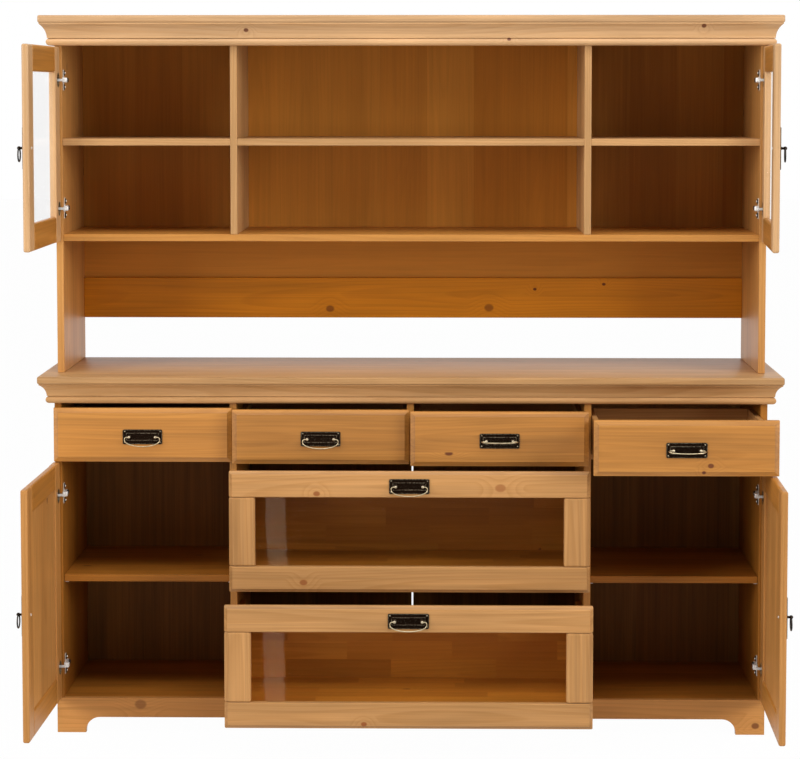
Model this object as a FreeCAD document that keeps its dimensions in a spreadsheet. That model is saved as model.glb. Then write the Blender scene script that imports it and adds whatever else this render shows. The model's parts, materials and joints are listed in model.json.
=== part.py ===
import FreeCAD, Part
import math
import os
import re

# Pine dresser with a hutch on top.
# Millimetres. X runs to the right, Y runs to the back, Z is up. The origin is on the floor,
# in the middle of the width, at the back plane. The object is at Y below 0.
# Doors and drawers stand as far open as each opening value says.

SIZES = {
    # Base cupboard
    "base_depth": 415.0,
    "board_thick": 17.0,
    "back_thick": 6.0,
    "back_gap": 4.5,
    "divider_offset": 430.0,
    "plinth_height": 86.0,
    "foot_width": 70.0,
    "foot_height": 38.0,
    "foot_curve": 34.0,
    "top_reveal": 11.0,
    "base_shelf_rise": 284.0,
    "shelf_recess": 20.0,
    "shelf_play": 0.5,
    "pin_length": 8.0,
    "pin_height": 5.0,
    "pin_setback": 40.0,
    # Worktop and its moulding
    "worktop_thick": 18.0,
    "worktop_side_overhang": 36.0,
    "worktop_front_overhang": 40.0,
    "worktop_ease": 4.0,
    "base_moulding_height": 49.0,
    "bead_height": 18.0,
    "bead_reach": 18.5,
    "cove_reach": 33.0,
    "cove_depth": 17.0,
    "cove_lip": 3.0,
    # Hutch
    "hutch_depth": 358.0,
    "niche_height": 322.0,
    "hutch_shelf_rise": 216.0,
    "back_rail_rise": 105.0,
    "back_rail_height": 103.0,
    "crown_thick": 18.0,
    "crown_overhang": 36.0,
    "crown_ease": 4.0,
    "crown_moulding_height": 55.0,
    # Doors
    "door_width": 432.5,
    "door_thick": 16.0,
    "base_door_height": 582.0,
    "hutch_door_height": 472.0,
    "front_standoff": 3.0,
    "front_gap": 3.0,
    "frame_width": 62.0,
    "door_panel_thick": 8.0,
    "glass_thick": 4.0,
    "groove_depth": 8.0,
    "groove_play": 0.2,
    "left_base_door_angle": 91.0,
    "right_base_door_angle": 88.5,
    "left_hutch_door_angle": 90.5,
    "right_hutch_door_angle": 86.0,
    # Drawers
    "front_thick": 18.0,
    "drawer_height": 131.0,
    "bevel_width": 10.5,
    "bevel_depth": 5.0,
    "box_side": 12.0,
    "box_base": 6.0,
    "box_base_rise": 8.0,
    "box_depth": 370.0,
    "drawer_box_height": 92.0,
    "glass_box_height": 205.0,
    "box_lift": 20.0,
    "box_side_play": 1.5,
    "runner_width": 15.0,
    "runner_height": 14.0,
    "runner_length": 390.0,
    "run_play": 0.3,
    "pull_out_1": 0.0,
    "pull_out_2": 31.0,
    "pull_out_3": 61.0,
    "pull_out_4": 210.0,
    "pull_out_upper": 128.0,
    "pull_out_lower": 272.0,
    # Concealed hinges
    "hinge_inset": 80.0,
    "hinge_from_edge": 6.0,
    "hinge_from_back": 6.0,
    "cup_radius": 17.5,
    "cup_wall": 0.8,
    "cup_depth": 11.5,
    "cup_from_edge": 20.0,
    "hinge_pin_radius": 0.9,
    "hinge_pin_play": 0.05,
    "knuckle_radius": 1.8,
    "knuckle_height": 6.0,
    "arm_thick": 4.0,
    "arm_height": 12.0,
    "arm_length": 48.0,
    "hinge_plate_thick": 1.2,
    "hinge_plate_height": 50.0,
    "hinge_plate_width": 14.0,
    "hinge_plate_setback": 18.0,
    # Pulls
    "plate_length": 96.0,
    "plate_width": 36.0,
    "plate_thick": 2.5,
    "plate_drop": 4.0,
    "post_spacing": 64.0,
    "post_radius": 4.5,
    "post_reach": 12.0,
    "bail_standoff": 8.0,
    "bail_wire_radius": 1.75,
    "bail_play": 0.05,
    "bail_width": 84.0,
    "bail_drop": 26.0,
    "bail_shoulder": 3.5,
    "bail_corner": 20.0,
    "bail_angle_1": 0.0,
    "bail_angle_2": 0.0,
    "bail_angle_3": 88.0,
    "bail_angle_4": 80.0,
    "bail_angle_upper": 0.0,
    "bail_angle_lower": 0.0,
    "eye_standoff": 10.0,
    "eye_reach": 15.0,
    "eye_hole_radius": 2.6,
    "ring_radius": 15.25,
    "ring_wire_radius": 1.75,
}

doc = FreeCAD.newDocument("Dresser")
sheet = doc.addObject("Spreadsheet::Sheet", "Sizes")
for row, (alias, value) in enumerate(SIZES.items(), start=1):
    sheet.set(f"A{row}", alias)
    sheet.set(f"B{row}", str(value))
    sheet.setAlias(f"B{row}", alias)
doc.recompute()

# Heights and depths that follow from the sizes, as expressions.
FLOOR_TOP = "plinth_height"
DRAWER_BOTTOM = f"({FLOOR_TOP} + base_door_height + front_gap)"
DRAWER_TOP = f"({DRAWER_BOTTOM} + drawer_height)"
CARCASE_TOP = f"({DRAWER_TOP} + top_reveal + base_moulding_height)"
WORKTOP_TOP = f"({CARCASE_TOP} + worktop_thick)"
GLASS_FRONT = "((base_door_height - front_gap) / 2)"
LOWER_BOTTOM = FLOOR_TOP
UPPER_BOTTOM = f"({FLOOR_TOP} + {GLASS_FRONT} + front_gap)"
HUTCH_FLOOR = f"({WORKTOP_TOP} + niche_height)"
HUTCH_FLOOR_TOP = f"({HUTCH_FLOOR} + board_thick)"
CROWN_MOULDING_BOTTOM = f"({HUTCH_FLOOR} + hutch_door_height + front_gap)"
HUTCH_TOP = f"({CROWN_MOULDING_BOTTOM} + crown_moulding_height)"
RAIL_BOTTOM = f"({WORKTOP_TOP} + back_rail_rise)"
RAIL_TOP = f"({RAIL_BOTTOM} + back_rail_height)"
HALF = "(divider_offset + front_gap / 2 + door_width)"
INNER = f"({HALF} - board_thick)"
DIVIDER_OUT = "(divider_offset + board_thick / 2)"
DIVIDER_IN = "(divider_offset - board_thick / 2)"
FRONT_BACK_FACE = "(-base_depth - front_standoff)"


def bound(text):
    """Turn an expression over the size names into one over the sheet's cells."""
    def cell(word):
        return "Sizes." + word.group(0) if word.group(0) in SIZES else word.group(0)

    return re.sub(r"[a-z][a-z_0-9]*", cell, text)


def size(alias):
    """Read one driving size from the sheet."""
    return float(getattr(sheet, alias))


def tie(thing, **expressions):
    """Bind properties of an object to expressions; x, y and z are its place."""
    for name, text in expressions.items():
        path = f".Placement.Base.{name}" if name in "xyz" else name
        thing.setExpression(path, bound(text))
    return thing


def block(name, x, y, z):
    """A box from its low corner and size on each axis, each pair as two expressions."""
    box = doc.addObject("Part::Box", name)
    return tie(box, x=x[0], y=y[0], z=z[0], Length=x[1], Width=y[1], Height=z[1])


def span(low, high):
    """The low corner and the size of a stretch given by its two ends."""
    return low, f"({high}) - ({low})"


def mirrored(sign, low, high):
    """A stretch along X, turned over to the other side where sign is negative."""
    if sign > 0:
        return span(low, high)
    return span(f"-({high})", f"-({low})")


def rod(name, radius, length, x, y, z, axis):
    """A cylinder from its start point along X, Y or Z."""
    cylinder = doc.addObject("Part::Cylinder", name)
    turn = {"X": (FreeCAD.Vector(0, 1, 0), 90), "Y": (FreeCAD.Vector(1, 0, 0), -90),
            "Z": (FreeCAD.Vector(0, 0, 1), 0)}[axis]
    cylinder.Placement.Rotation = FreeCAD.Rotation(*turn)
    return tie(cylinder, Radius=radius, Height=length, x=x, y=y, z=z)


def cut(name, base, tools):
    """A piece with one or more tools taken out of it."""
    for number, tool in enumerate(tools):
        result = doc.addObject("Part::Cut", f"{name}_{number}")
        result.Base = base
        result.Tool = tool
        base = result
    return base


def fuse(name, pieces):
    """One solid made of overlapping or touching pieces."""
    result = doc.addObject("Part::MultiFuse", name)
    result.Shapes = pieces
    result.Refine = True
    return result


def eased(name, base, radius, picks):
    """A piece with the edges that pick(edge) accepts rounded over."""
    doc.recompute()
    result = doc.addObject("Part::Fillet", name)
    result.Base = base
    chosen = [n for n, edge in enumerate(base.Shape.Edges, start=1) if picks(edge)]
    result.Edges = [(n, size(radius), size(radius)) for n in chosen]
    return result


def along(edge, axis):
    """Whether a straight edge runs along the axis with this number."""
    lengths = (edge.BoundBox.XLength, edge.BoundBox.YLength, edge.BoundBox.ZLength)
    return lengths[axis] > 0.99 * edge.Length


nodes = []


def node(name, thing):
    """Give a finished sub-part the name of its file."""
    thing.Label = name
    nodes.append(thing)
    return thing


def group(name, pieces):
    """A sub-part of several separate solids."""
    holder = doc.addObject("Part::Compound", name + "_group")
    holder.Links = pieces
    return node(name, holder)


# Carcase boards
CARCASE_Y = span("-base_depth", "0")
BETWEEN_BACKS_Y = span("-base_depth", "-back_thick")
HUTCH_Y = span("-hutch_depth", "0")
HUTCH_INNER_Y = span("-hutch_depth", "-back_thick")

group("base_sides", [
    block(f"base_side_{sign}", mirrored(sign, f"-{HALF}", f"-{INNER}"), CARCASE_Y,
          span(FLOOR_TOP, CARCASE_TOP))
    for sign in (1, -1)])
group("hutch_sides", [
    block(f"hutch_side_{sign}", mirrored(sign, f"-{HALF}", f"-{INNER}"), HUTCH_Y,
          span(WORKTOP_TOP, HUTCH_TOP))
    for sign in (1, -1)])
base_dividers = [
    block(f"base_divider_{sign}", mirrored(sign, f"-{DIVIDER_OUT}", f"-{DIVIDER_IN}"), BETWEEN_BACKS_Y,
          span(FLOOR_TOP, CARCASE_TOP))
    for sign in (1, -1)]
partition = block("drawer_partition", ("-board_thick / 2", "board_thick"), BETWEEN_BACKS_Y,
                  span(DRAWER_BOTTOM, CARCASE_TOP))
hutch_dividers = [
    block(f"hutch_divider_{sign}", mirrored(sign, f"-{DIVIDER_OUT}", f"-{DIVIDER_IN}"), HUTCH_INNER_Y,
          span(HUTCH_FLOOR_TOP, HUTCH_TOP))
    for sign in (1, -1)]
group("dividers", base_dividers + [partition] + hutch_dividers)
node("base_bottom", block("bottom_board", span(f"-{HALF}", HALF), span("board_thick - base_depth", "0"),
                          span(f"{FLOOR_TOP} - board_thick", FLOOR_TOP)))
node("hutch_floor", block("hutch_floor_board", span(f"-{INNER}", INNER), HUTCH_INNER_Y,
                          span(HUTCH_FLOOR, HUTCH_FLOOR_TOP)))

# Shelves: fixed ones in the hutch, loose ones on pins in the base cupboards
HUTCH_SHELF = f"({HUTCH_FLOOR_TOP} + hutch_shelf_rise)"
BASE_SHELF = f"({FLOOR_TOP} + base_shelf_rise)"
shelves = [block("hutch_shelf_middle", span(f"-{DIVIDER_IN}", DIVIDER_IN), HUTCH_INNER_Y,
                 (HUTCH_SHELF, "board_thick"))]
pins = []
for sign in (1, -1):
    shelves.append(block(f"hutch_shelf_{sign}", mirrored(sign, f"-{INNER}", f"-{DIVIDER_OUT}"), HUTCH_INNER_Y,
                         (HUTCH_SHELF, "board_thick")))
    shelves.append(block(f"base_shelf_{sign}",
                         mirrored(sign, f"-{INNER} + shelf_play", f"-{DIVIDER_OUT} - shelf_play"),
                         span("shelf_recess - base_depth", "-back_thick - shelf_play"),
                         (BASE_SHELF, "board_thick")))
    for place, back in (("front", "pin_setback - base_depth"), ("rear", "-back_thick - pin_setback")):
        for wall, stretch in (("side", (f"-{INNER}", f"-{INNER} + pin_length")),
                              ("divider", (f"-{DIVIDER_OUT} - pin_length", f"-{DIVIDER_OUT}"))):
            pins.append(block(f"shelf_pin_{sign}_{place}_{wall}", mirrored(sign, *stretch),
                              (f"{back} - pin_height / 2", "pin_height"),
                              (f"{BASE_SHELF} - pin_height", "pin_height")))
group("shelves", shelves)
group("shelf_pins", pins)

# Plinth: a front board cut to bracket feet, two sides and a back board that stands on the floor
FOOT_IN = f"({HALF} - foot_width)"
UNDER_BOTTOM = f"({FLOOR_TOP} - board_thick)"
plinth_blank = block("plinth_blank", span(f"-{HALF}", HALF), ("-base_depth", "board_thick"), ("0", FLOOR_TOP))
opening_y = ("-base_depth - board_thick", "3 * board_thick")
opening = fuse("foot_opening", [
    block("opening_upper", span(f"foot_curve - {FOOT_IN}", f"{FOOT_IN} - foot_curve"), opening_y,
          span("-board_thick", "foot_height")),
    block("opening_lower", span(f"-{FOOT_IN}", FOOT_IN), opening_y,
          span("-board_thick", "foot_height - foot_curve")),
    rod("opening_left", "foot_curve", opening_y[1], f"foot_curve - {FOOT_IN}", opening_y[0],
        "foot_height - foot_curve", "Y"),
    rod("opening_right", "foot_curve", opening_y[1], f"{FOOT_IN} - foot_curve", opening_y[0],
        "foot_height - foot_curve", "Y")])
plinth_side_y = span("board_thick - base_depth", "-board_thick")
group("plinth", [
    cut("plinth_front", plinth_blank, [opening]),
    block("plinth_left", (f"-{HALF}", "board_thick"), plinth_side_y, ("0", UNDER_BOTTOM)),
    block("plinth_right", (INNER, "board_thick"), plinth_side_y, ("0", UNDER_BOTTOM)),
    block("plinth_back", span(f"-{HALF}", HALF), ("-board_thick", "board_thick"), ("0", UNDER_BOTTOM))])

# Backs: two thin sheets with a gap in the base, one sheet and a rail in the hutch
BACK_Y = span("-back_thick", "0")
group("back_panels", [
    block(f"base_back_{sign}", mirrored(sign, f"-{INNER}", "-back_gap / 2"), BACK_Y,
          span(FLOOR_TOP, CARCASE_TOP))
    for sign in (1, -1)] + [
    block("hutch_back", span(f"-{INNER}", INNER), BACK_Y, span(RAIL_TOP, HUTCH_TOP))])
node("hutch_back_rail", block("back_rail", span(f"-{INNER}", INNER), ("-board_thick", "board_thick"),
                              span(RAIL_BOTTOM, RAIL_TOP)))


def top_slab(name, side_overhang, depth, thick, bottom, ease):
    """A slab with its front and side edges rounded over."""
    blank = block(name + "_blank", span(f"-{HALF} - {side_overhang}", f"{HALF} + {side_overhang}"),
                  span(f"-({depth})", "0"), (bottom, thick))
    doc.recompute()
    back = blank.Shape.BoundBox.YMax
    return node(name, eased(name + "_eased", blank, ease,
                            lambda edge: not along(edge, 2) and edge.BoundBox.YMin < back - size(ease)))


top_slab("worktop", "worktop_side_overhang", "base_depth + worktop_front_overhang", "worktop_thick",
         CARCASE_TOP, "worktop_ease")
top_slab("crown_board", "crown_overhang", "hutch_depth + crown_overhang", "crown_thick",
         HUTCH_TOP, "crown_ease")


def moulding_run(name, length, height, mitres):
    """One length of bead and cove moulding along X, standing out towards -Y, mitred where asked."""
    start = "-cove_reach" if "start" in mitres else "0"
    end = f"({length}) + cove_reach" if "end" in mitres else f"({length})"
    run = span(start, end)
    nose = "(bead_height / 2)"
    upper = block(name + "_upper", run, ("-cove_reach", "cove_reach"), span("bead_height", height))
    # The hollow is upright at the bead and runs out to the full reach below the lip.
    rise = f"({height} - bead_height - cove_lip)"
    radius = f"((pow(cove_depth; 2) + pow({rise}; 2)) / (2 * cove_depth))"
    cove = rod(name + "_cove", radius, run[1], run[0], f"cove_depth - cove_reach - {radius}",
               "bead_height", "X")
    whole = fuse(name + "_whole", [
        cut(name + "_hollow", upper, [cove]),
        block(name + "_bead", run, (f"{nose} - bead_reach", f"bead_reach - {nose}"), ("0", "bead_height")),
        rod(name + "_nose", nose, run[1], run[0], f"{nose} - bead_reach", nose, "X")])
    saws = []
    for corner, place, turn in (("start", "0", 135), ("end", f"({length})", -45)):
        if corner in mitres:
            saw = block(f"{name}_saw_{corner}", (place, "4 * cove_reach"), ("0", "4 * cove_reach"),
                        ("-board_thick", f"{height} + 2 * board_thick"))
            saw.Placement.Rotation = FreeCAD.Rotation(FreeCAD.Vector(0, 0, 1), turn)
            saws.append(saw)
    return cut(name + "_mitred", whole, saws)


def moulding(name, depth, height, bottom):
    """Front and two returns of a moulding round three sides of a carcase of this depth."""
    front = moulding_run(name + "_front", f"2 * {HALF}", height, ("start", "end"))
    tie(front, x=f"-{HALF}", y=f"-{depth}", z=bottom)
    left = moulding_run(name + "_left", depth, height, ("end",))
    left.Placement.Rotation = FreeCAD.Rotation(FreeCAD.Vector(0, 0, 1), -90)
    tie(left, x=f"-{HALF}", y="0", z=bottom)
    right = moulding_run(name + "_right", depth, height, ("start",))
    right.Placement.Rotation = FreeCAD.Rotation(FreeCAD.Vector(0, 0, 1), 90)
    tie(right, x=HALF, y=f"-{depth}", z=bottom)
    return group(name, [front, left, right])


moulding("worktop_moulding", "base_depth", "base_moulding_height", f"{CARCASE_TOP} - base_moulding_height")
moulding("crown_moulding", "hutch_depth", "crown_moulding_height", CROWN_MOULDING_BOTTOM)


def framed_front(name, x, z, thick, y_back, fill_thick, stiles_through):
    """Two rails and two stiles round a pane or panel that sits in a groove of all four."""
    low_x, wide = x
    low_z, tall = z
    high_x = f"{low_x} + {wide}"
    high_z = f"{low_z} + {tall}"
    y = (f"{y_back} - {thick}", thick)
    groove = block(name + "_groove",
                   span(f"{low_x} + frame_width - groove_depth", f"{high_x} - frame_width + groove_depth"),
                   (f"{y_back} - ({thick} + {fill_thick}) / 2 - groove_play",
                    f"{fill_thick} + 2 * groove_play"),
                   span(f"{low_z} + frame_width - groove_depth", f"{high_z} - frame_width + groove_depth"))
    inner_x = span(f"{low_x} + frame_width", f"{high_x} - frame_width")
    inner_z = span(f"{low_z} + frame_width", f"{high_z} - frame_width")
    bars = {
        "stile_a": ((low_x, "frame_width"), z if stiles_through else inner_z),
        "stile_b": ((f"{high_x} - frame_width", "frame_width"), z if stiles_through else inner_z),
        "rail_low": (inner_x if stiles_through else x, (low_z, "frame_width")),
        "rail_high": (inner_x if stiles_through else x, (f"{high_z} - frame_width", "frame_width"))}
    frame = []
    for bar, (bar_x, bar_z) in bars.items():
        blank = block(f"{name}_{bar}", bar_x, y, bar_z)
        frame.append(cut(f"{name}_{bar}_grooved", blank, [groove]))
    reach = "(groove_depth - groove_play)"
    fill = block(name + "_fill",
                 span(f"{low_x} + frame_width - {reach}", f"{high_x} - frame_width + {reach}"),
                 (f"{y_back} - ({thick} + {fill_thick}) / 2", fill_thick),
                 span(f"{low_z} + frame_width - {reach}", f"{high_z} - frame_width + {reach}"))
    return frame, fill


# Pulls: a plate with posts for a swinging bail on each drawer, with one eye for a ring on each door
def bail_plate(name, x, y, z):
    """A drawer pull plate with two drilled posts; x, y and z place the middle of its back."""
    pieces = [block(name + "_plate", (f"{x} - plate_length / 2", "plate_length"),
                    (f"{y} - plate_thick", "plate_thick"), (f"{z} - plate_width / 2", "plate_width"))]
    for post, sign in (("left", "-"), ("right", "+")):
        pieces.append(rod(f"{name}_{post}_post", "post_radius", "post_reach", f"{x} {sign} post_spacing / 2",
                          f"{y} - plate_thick - post_reach", z, "Y"))
    bore = rod(name + "_bore", "bail_wire_radius + bail_play", "plate_length", f"{x} - plate_length / 2",
               f"{y} - plate_thick - bail_standoff", z, "X")
    return cut(name, fuse(name + "_solid", pieces), [bore])


def bail_shape():
    """A round wire bent to a handle: two ends along X, two shoulders, two legs and a rounded grip."""
    inside = size("post_spacing") / 2 - size("post_radius")
    leg = size("bail_width") / 2 - size("bail_wire_radius")
    drop = size("bail_drop")
    shoulder = size("bail_shoulder")
    corner = size("bail_corner")
    turn = math.sqrt(0.5)

    def point(x, z):
        return FreeCAD.Vector(x, 0, z)

    half = [
        Part.LineSegment(point(-inside, 0), point(shoulder - leg, 0)),
        Part.Arc(point(shoulder - leg, 0),
                 point(shoulder - leg - shoulder * turn, shoulder * turn - shoulder),
                 point(-leg, -shoulder)),
        Part.LineSegment(point(-leg, -shoulder), point(-leg, corner - drop)),
        Part.Arc(point(-leg, corner - drop),
                 point(corner - leg - corner * turn, corner - drop - corner * turn),
                 point(corner - leg, -drop)),
        Part.LineSegment(point(corner - leg, -drop), point(0, -drop))]
    edges = [piece.toShape() for piece in half]
    mirror = [edge.mirror(FreeCAD.Vector(), FreeCAD.Vector(1, 0, 0)) for edge in reversed(edges)]
    path = Part.Wire(Part.__sortEdges__(edges + mirror))
    circle = Part.makeCircle(size("bail_wire_radius"), point(-inside, 0), FreeCAD.Vector(1, 0, 0))
    return path.makePipeShell([Part.Wire([circle])], True, False)


def bail(name, x, y, z, angle):
    """A bail swung out by its angle about the line through its two posts."""
    wire = doc.addObject("Part::Feature", name + "_wire")
    wire.Shape = bail_shape()
    wire.Placement.Rotation = FreeCAD.Rotation(FreeCAD.Vector(-1, 0, 0), size(angle))
    tie(wire, x=x, y=f"{y} - plate_thick - bail_standoff", z=z)
    return node(name, wire)


# Drawers
def drawer_box(name, low_x, high_x, bottom, height, pull):
    """Two sides, a back and a base behind a drawer front, resting on the runners."""
    x = (f"{low_x} + box_side_play", f"{high_x} - box_side_play")
    front = f"{FRONT_BACK_FACE} - {pull}"
    rear = f"{front} + box_depth"
    z = (bottom, height)
    within = span(f"{x[0]} + box_side", f"{x[1]} - box_side")
    return group(name, [
        block(name + "_side_a", (x[0], "box_side"), span(front, rear), z),
        block(name + "_side_b", (f"{x[1]} - box_side", "box_side"), span(front, rear), z),
        block(name + "_rear", within, span(f"{rear} - box_side", rear), z),
        block(name + "_base", within, span(front, f"{rear} - box_side"),
              (f"{bottom} + box_base_rise", "box_base"))])


def bevelled_front(name, x, y, z):
    """A drawer front with a bevel round its face: a plain board behind, a tapering one before it."""
    rear = block(name + "_rear", x, (f"{y[0]} + bevel_depth", f"{y[1]} - bevel_depth"), z)
    taper = doc.addObject("Part::Wedge", name + "_taper")
    tie(taper, x=x[0], y=y[0], z=z[0], Ymin="0", Ymax="bevel_depth",
        Xmin="bevel_width", Xmax=f"{x[1]} - bevel_width", Zmin="bevel_width", Zmax=f"{z[1]} - bevel_width",
        X2min="0", X2max=x[1], Z2min="0", Z2max=z[1])
    return fuse(name + "_whole", [rear, taper])


runners = []


def add_runners(name, low_x, high_x, bottom):
    """Two bars on the walls of a bay, under the sides of its drawer."""
    y = ("-base_depth", "runner_length")
    z = (f"{bottom} - run_play - runner_height", "runner_height")
    runners.append(block(name + "_runner_a", (low_x, "runner_width"), y, z))
    runners.append(block(name + "_runner_b", (f"{high_x} - runner_width", "runner_width"), y, z))


def pull_for(name, x, rail_middle, pull, angle):
    """A plate and its bail on a drawer front."""
    y = f"(-base_depth - front_standoff - front_thick - {pull})"
    z = f"({rail_middle} - plate_drop)"
    node(name + "_pull_plate", bail_plate(name + "_plate_cut", x, y, z))
    bail(name + "_bail", x, y, z, angle)


EDGE = "(front_gap / 2)"
TOP_DRAWERS = (
    ("drawer_1", f"-{INNER}", f"-{DIVIDER_OUT}", f"-{HALF}", f"-divider_offset - {EDGE}"),
    ("drawer_2", f"-{DIVIDER_IN}", "-board_thick / 2", f"{EDGE} - divider_offset", f"-{EDGE}"),
    ("drawer_3", "board_thick / 2", DIVIDER_IN, EDGE, f"divider_offset - {EDGE}"),
    ("drawer_4", DIVIDER_OUT, INNER, f"divider_offset + {EDGE}", HALF))
for number, (name, bay_low, bay_high, front_low, front_high) in enumerate(TOP_DRAWERS, start=1):
    pull = f"pull_out_{number}"
    box_bottom = f"({DRAWER_BOTTOM} + box_lift)"
    node(name + "_front", bevelled_front(name, span(front_low, front_high),
                                         (f"{FRONT_BACK_FACE} - front_thick - {pull}", "front_thick"),
                                         (DRAWER_BOTTOM, "drawer_height")))
    drawer_box(name + "_box", bay_low, bay_high, box_bottom, "drawer_box_height", pull)
    add_runners(name, bay_low, bay_high, box_bottom)
    pull_for(name, f"(({front_low} + {front_high}) / 2)", f"({DRAWER_BOTTOM} + drawer_height / 2)", pull,
             f"bail_angle_{number}")

for place, bottom in (("upper", UPPER_BOTTOM), ("lower", LOWER_BOTTOM)):
    name = f"{place}_glass_drawer"
    pull = f"pull_out_{place}"
    box_bottom = f"({bottom} + box_lift)"
    x = span(f"{EDGE} - divider_offset", f"divider_offset - {EDGE}")
    frame, pane = framed_front(name, x, (bottom, GLASS_FRONT), "front_thick", f"({FRONT_BACK_FACE} - {pull})",
                               "glass_thick", False)
    group(name + "_front", frame)
    node(name + "_glass", pane)
    drawer_box(name + "_box", f"-{DIVIDER_IN}", DIVIDER_IN, box_bottom, "glass_box_height", pull)
    add_runners(name, f"-{DIVIDER_IN}", DIVIDER_IN, box_bottom)
    pull_for(name, "0", f"({bottom} + {GLASS_FRONT} - frame_width / 2)", pull, f"bail_angle_{place}")
group("drawer_runners", runners)


# Doors: each is drawn shut about its hinge line, then turned to its angle
def swing(thing, sign, x, y, z, angle):
    """Stand a piece of a door on the hinge line and open it."""
    thing.Placement.Rotation = FreeCAD.Rotation(FreeCAD.Vector(0, 0, -sign), size(angle))
    return tie(thing, x=x, y=y, z=z)


def hinge_cup(name, sign, height):
    """A round cup let into the back of a door, with an upright pin across it."""
    centre = f"{'' if sign > 0 else '-'}(cup_from_edge - hinge_from_edge)"
    floor = "hinge_from_back - cup_depth"
    shell = cut(name + "_shell", rod(name + "_body", "cup_radius", "cup_depth", centre, floor, height, "Y"),
                [rod(name + "_hollow", "cup_radius - cup_wall", "cup_depth", centre, f"{floor} + cup_wall",
                     height, "Y")])
    # Half the pin's length, so that its ends stop inside the cup's wall.
    off_centre = "(cup_from_edge - hinge_from_edge + hinge_pin_radius)"
    chord = f"sqrt(pow(cup_radius - cup_wall / 4; 2) - pow({off_centre}; 2))"
    pin = rod(name + "_pin", "hinge_pin_radius", f"2 * {chord}", "0", "0", f"{height} - {chord}", "Z")
    return fuse(name, [shell, pin])


def hinge_arm(name, sign, x, y, z):
    """A knuckle on the hinge pin, an arm back into the carcase and its cross-shaped plate on the side."""
    wall = "(board_thick - hinge_from_edge)"
    plate = f"({wall} + hinge_plate_thick)"
    outer = f"({plate} + arm_thick)"
    front = "(hinge_from_back + front_standoff)"

    def bar(part, low, high, along_y, tall):
        return block(f"{name}_{part}", tuple_shift(mirrored(sign, low, high), x),
                     (f"{y} + {along_y[0]}", along_y[1]), (f"{z} - ({tall}) / 2", tall))

    pieces = [
        rod(name + "_knuckle", "knuckle_radius", "knuckle_height", x, y, f"{z} - knuckle_height / 2", "Z"),
        bar("link", "0", outer, ("-knuckle_radius", "knuckle_radius"), "knuckle_height"),
        bar("neck", plate, outer, ("-knuckle_radius", f"knuckle_radius + {front}"), "knuckle_height"),
        bar("arm", plate, outer, (front, "arm_length"), "arm_height"),
        bar("upright", wall, plate, (f"{front} + hinge_plate_setback", "hinge_plate_width"),
            "hinge_plate_height"),
        bar("foot", wall, plate,
            (f"{front} + hinge_plate_setback / 2", "arm_length - hinge_plate_setback / 2"), "arm_height")]
    bore = rod(name + "_bore", "hinge_pin_radius + hinge_pin_play", "hinge_plate_height", x, y,
               f"{z} - hinge_plate_height / 2", "Z")
    return cut(name, fuse(name + "_solid", pieces), [bore])


def tuple_shift(stretch, x):
    """The same stretch moved along X."""
    return f"{x} + ({stretch[0]})", stretch[1]


def ring_plate(name, x, y, z):
    """A door pull plate, upright, with one drilled eye above its middle."""
    plate = block(name + "_plate", (f"{x} - plate_width / 2", "plate_width"),
                  (f"{y} - plate_thick", "plate_thick"), (f"{z} - plate_length / 2", "plate_length"))
    eye = rod(name + "_eye", "post_radius", "eye_reach", x, f"{y} - plate_thick - eye_reach", z, "Y")
    bore = rod(name + "_bore", "eye_hole_radius", "plate_width", f"{x} - plate_width / 2",
               f"{y} - plate_thick - eye_standoff", z, "X")
    return cut(name, fuse(name + "_solid", [plate, eye]), [bore])


def ring(name, x, y, z):
    """A ring hanging in the eye of a door plate."""
    torus = doc.addObject("Part::Torus", name + "_torus")
    torus.Placement.Rotation = FreeCAD.Rotation(FreeCAD.Vector(1, 0, 0), 90)
    return tie(torus, Radius1="ring_radius", Radius2="ring_wire_radius", x=x,
               y=f"{y} - plate_thick - eye_standoff", z=f"{z} - ring_radius")


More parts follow.
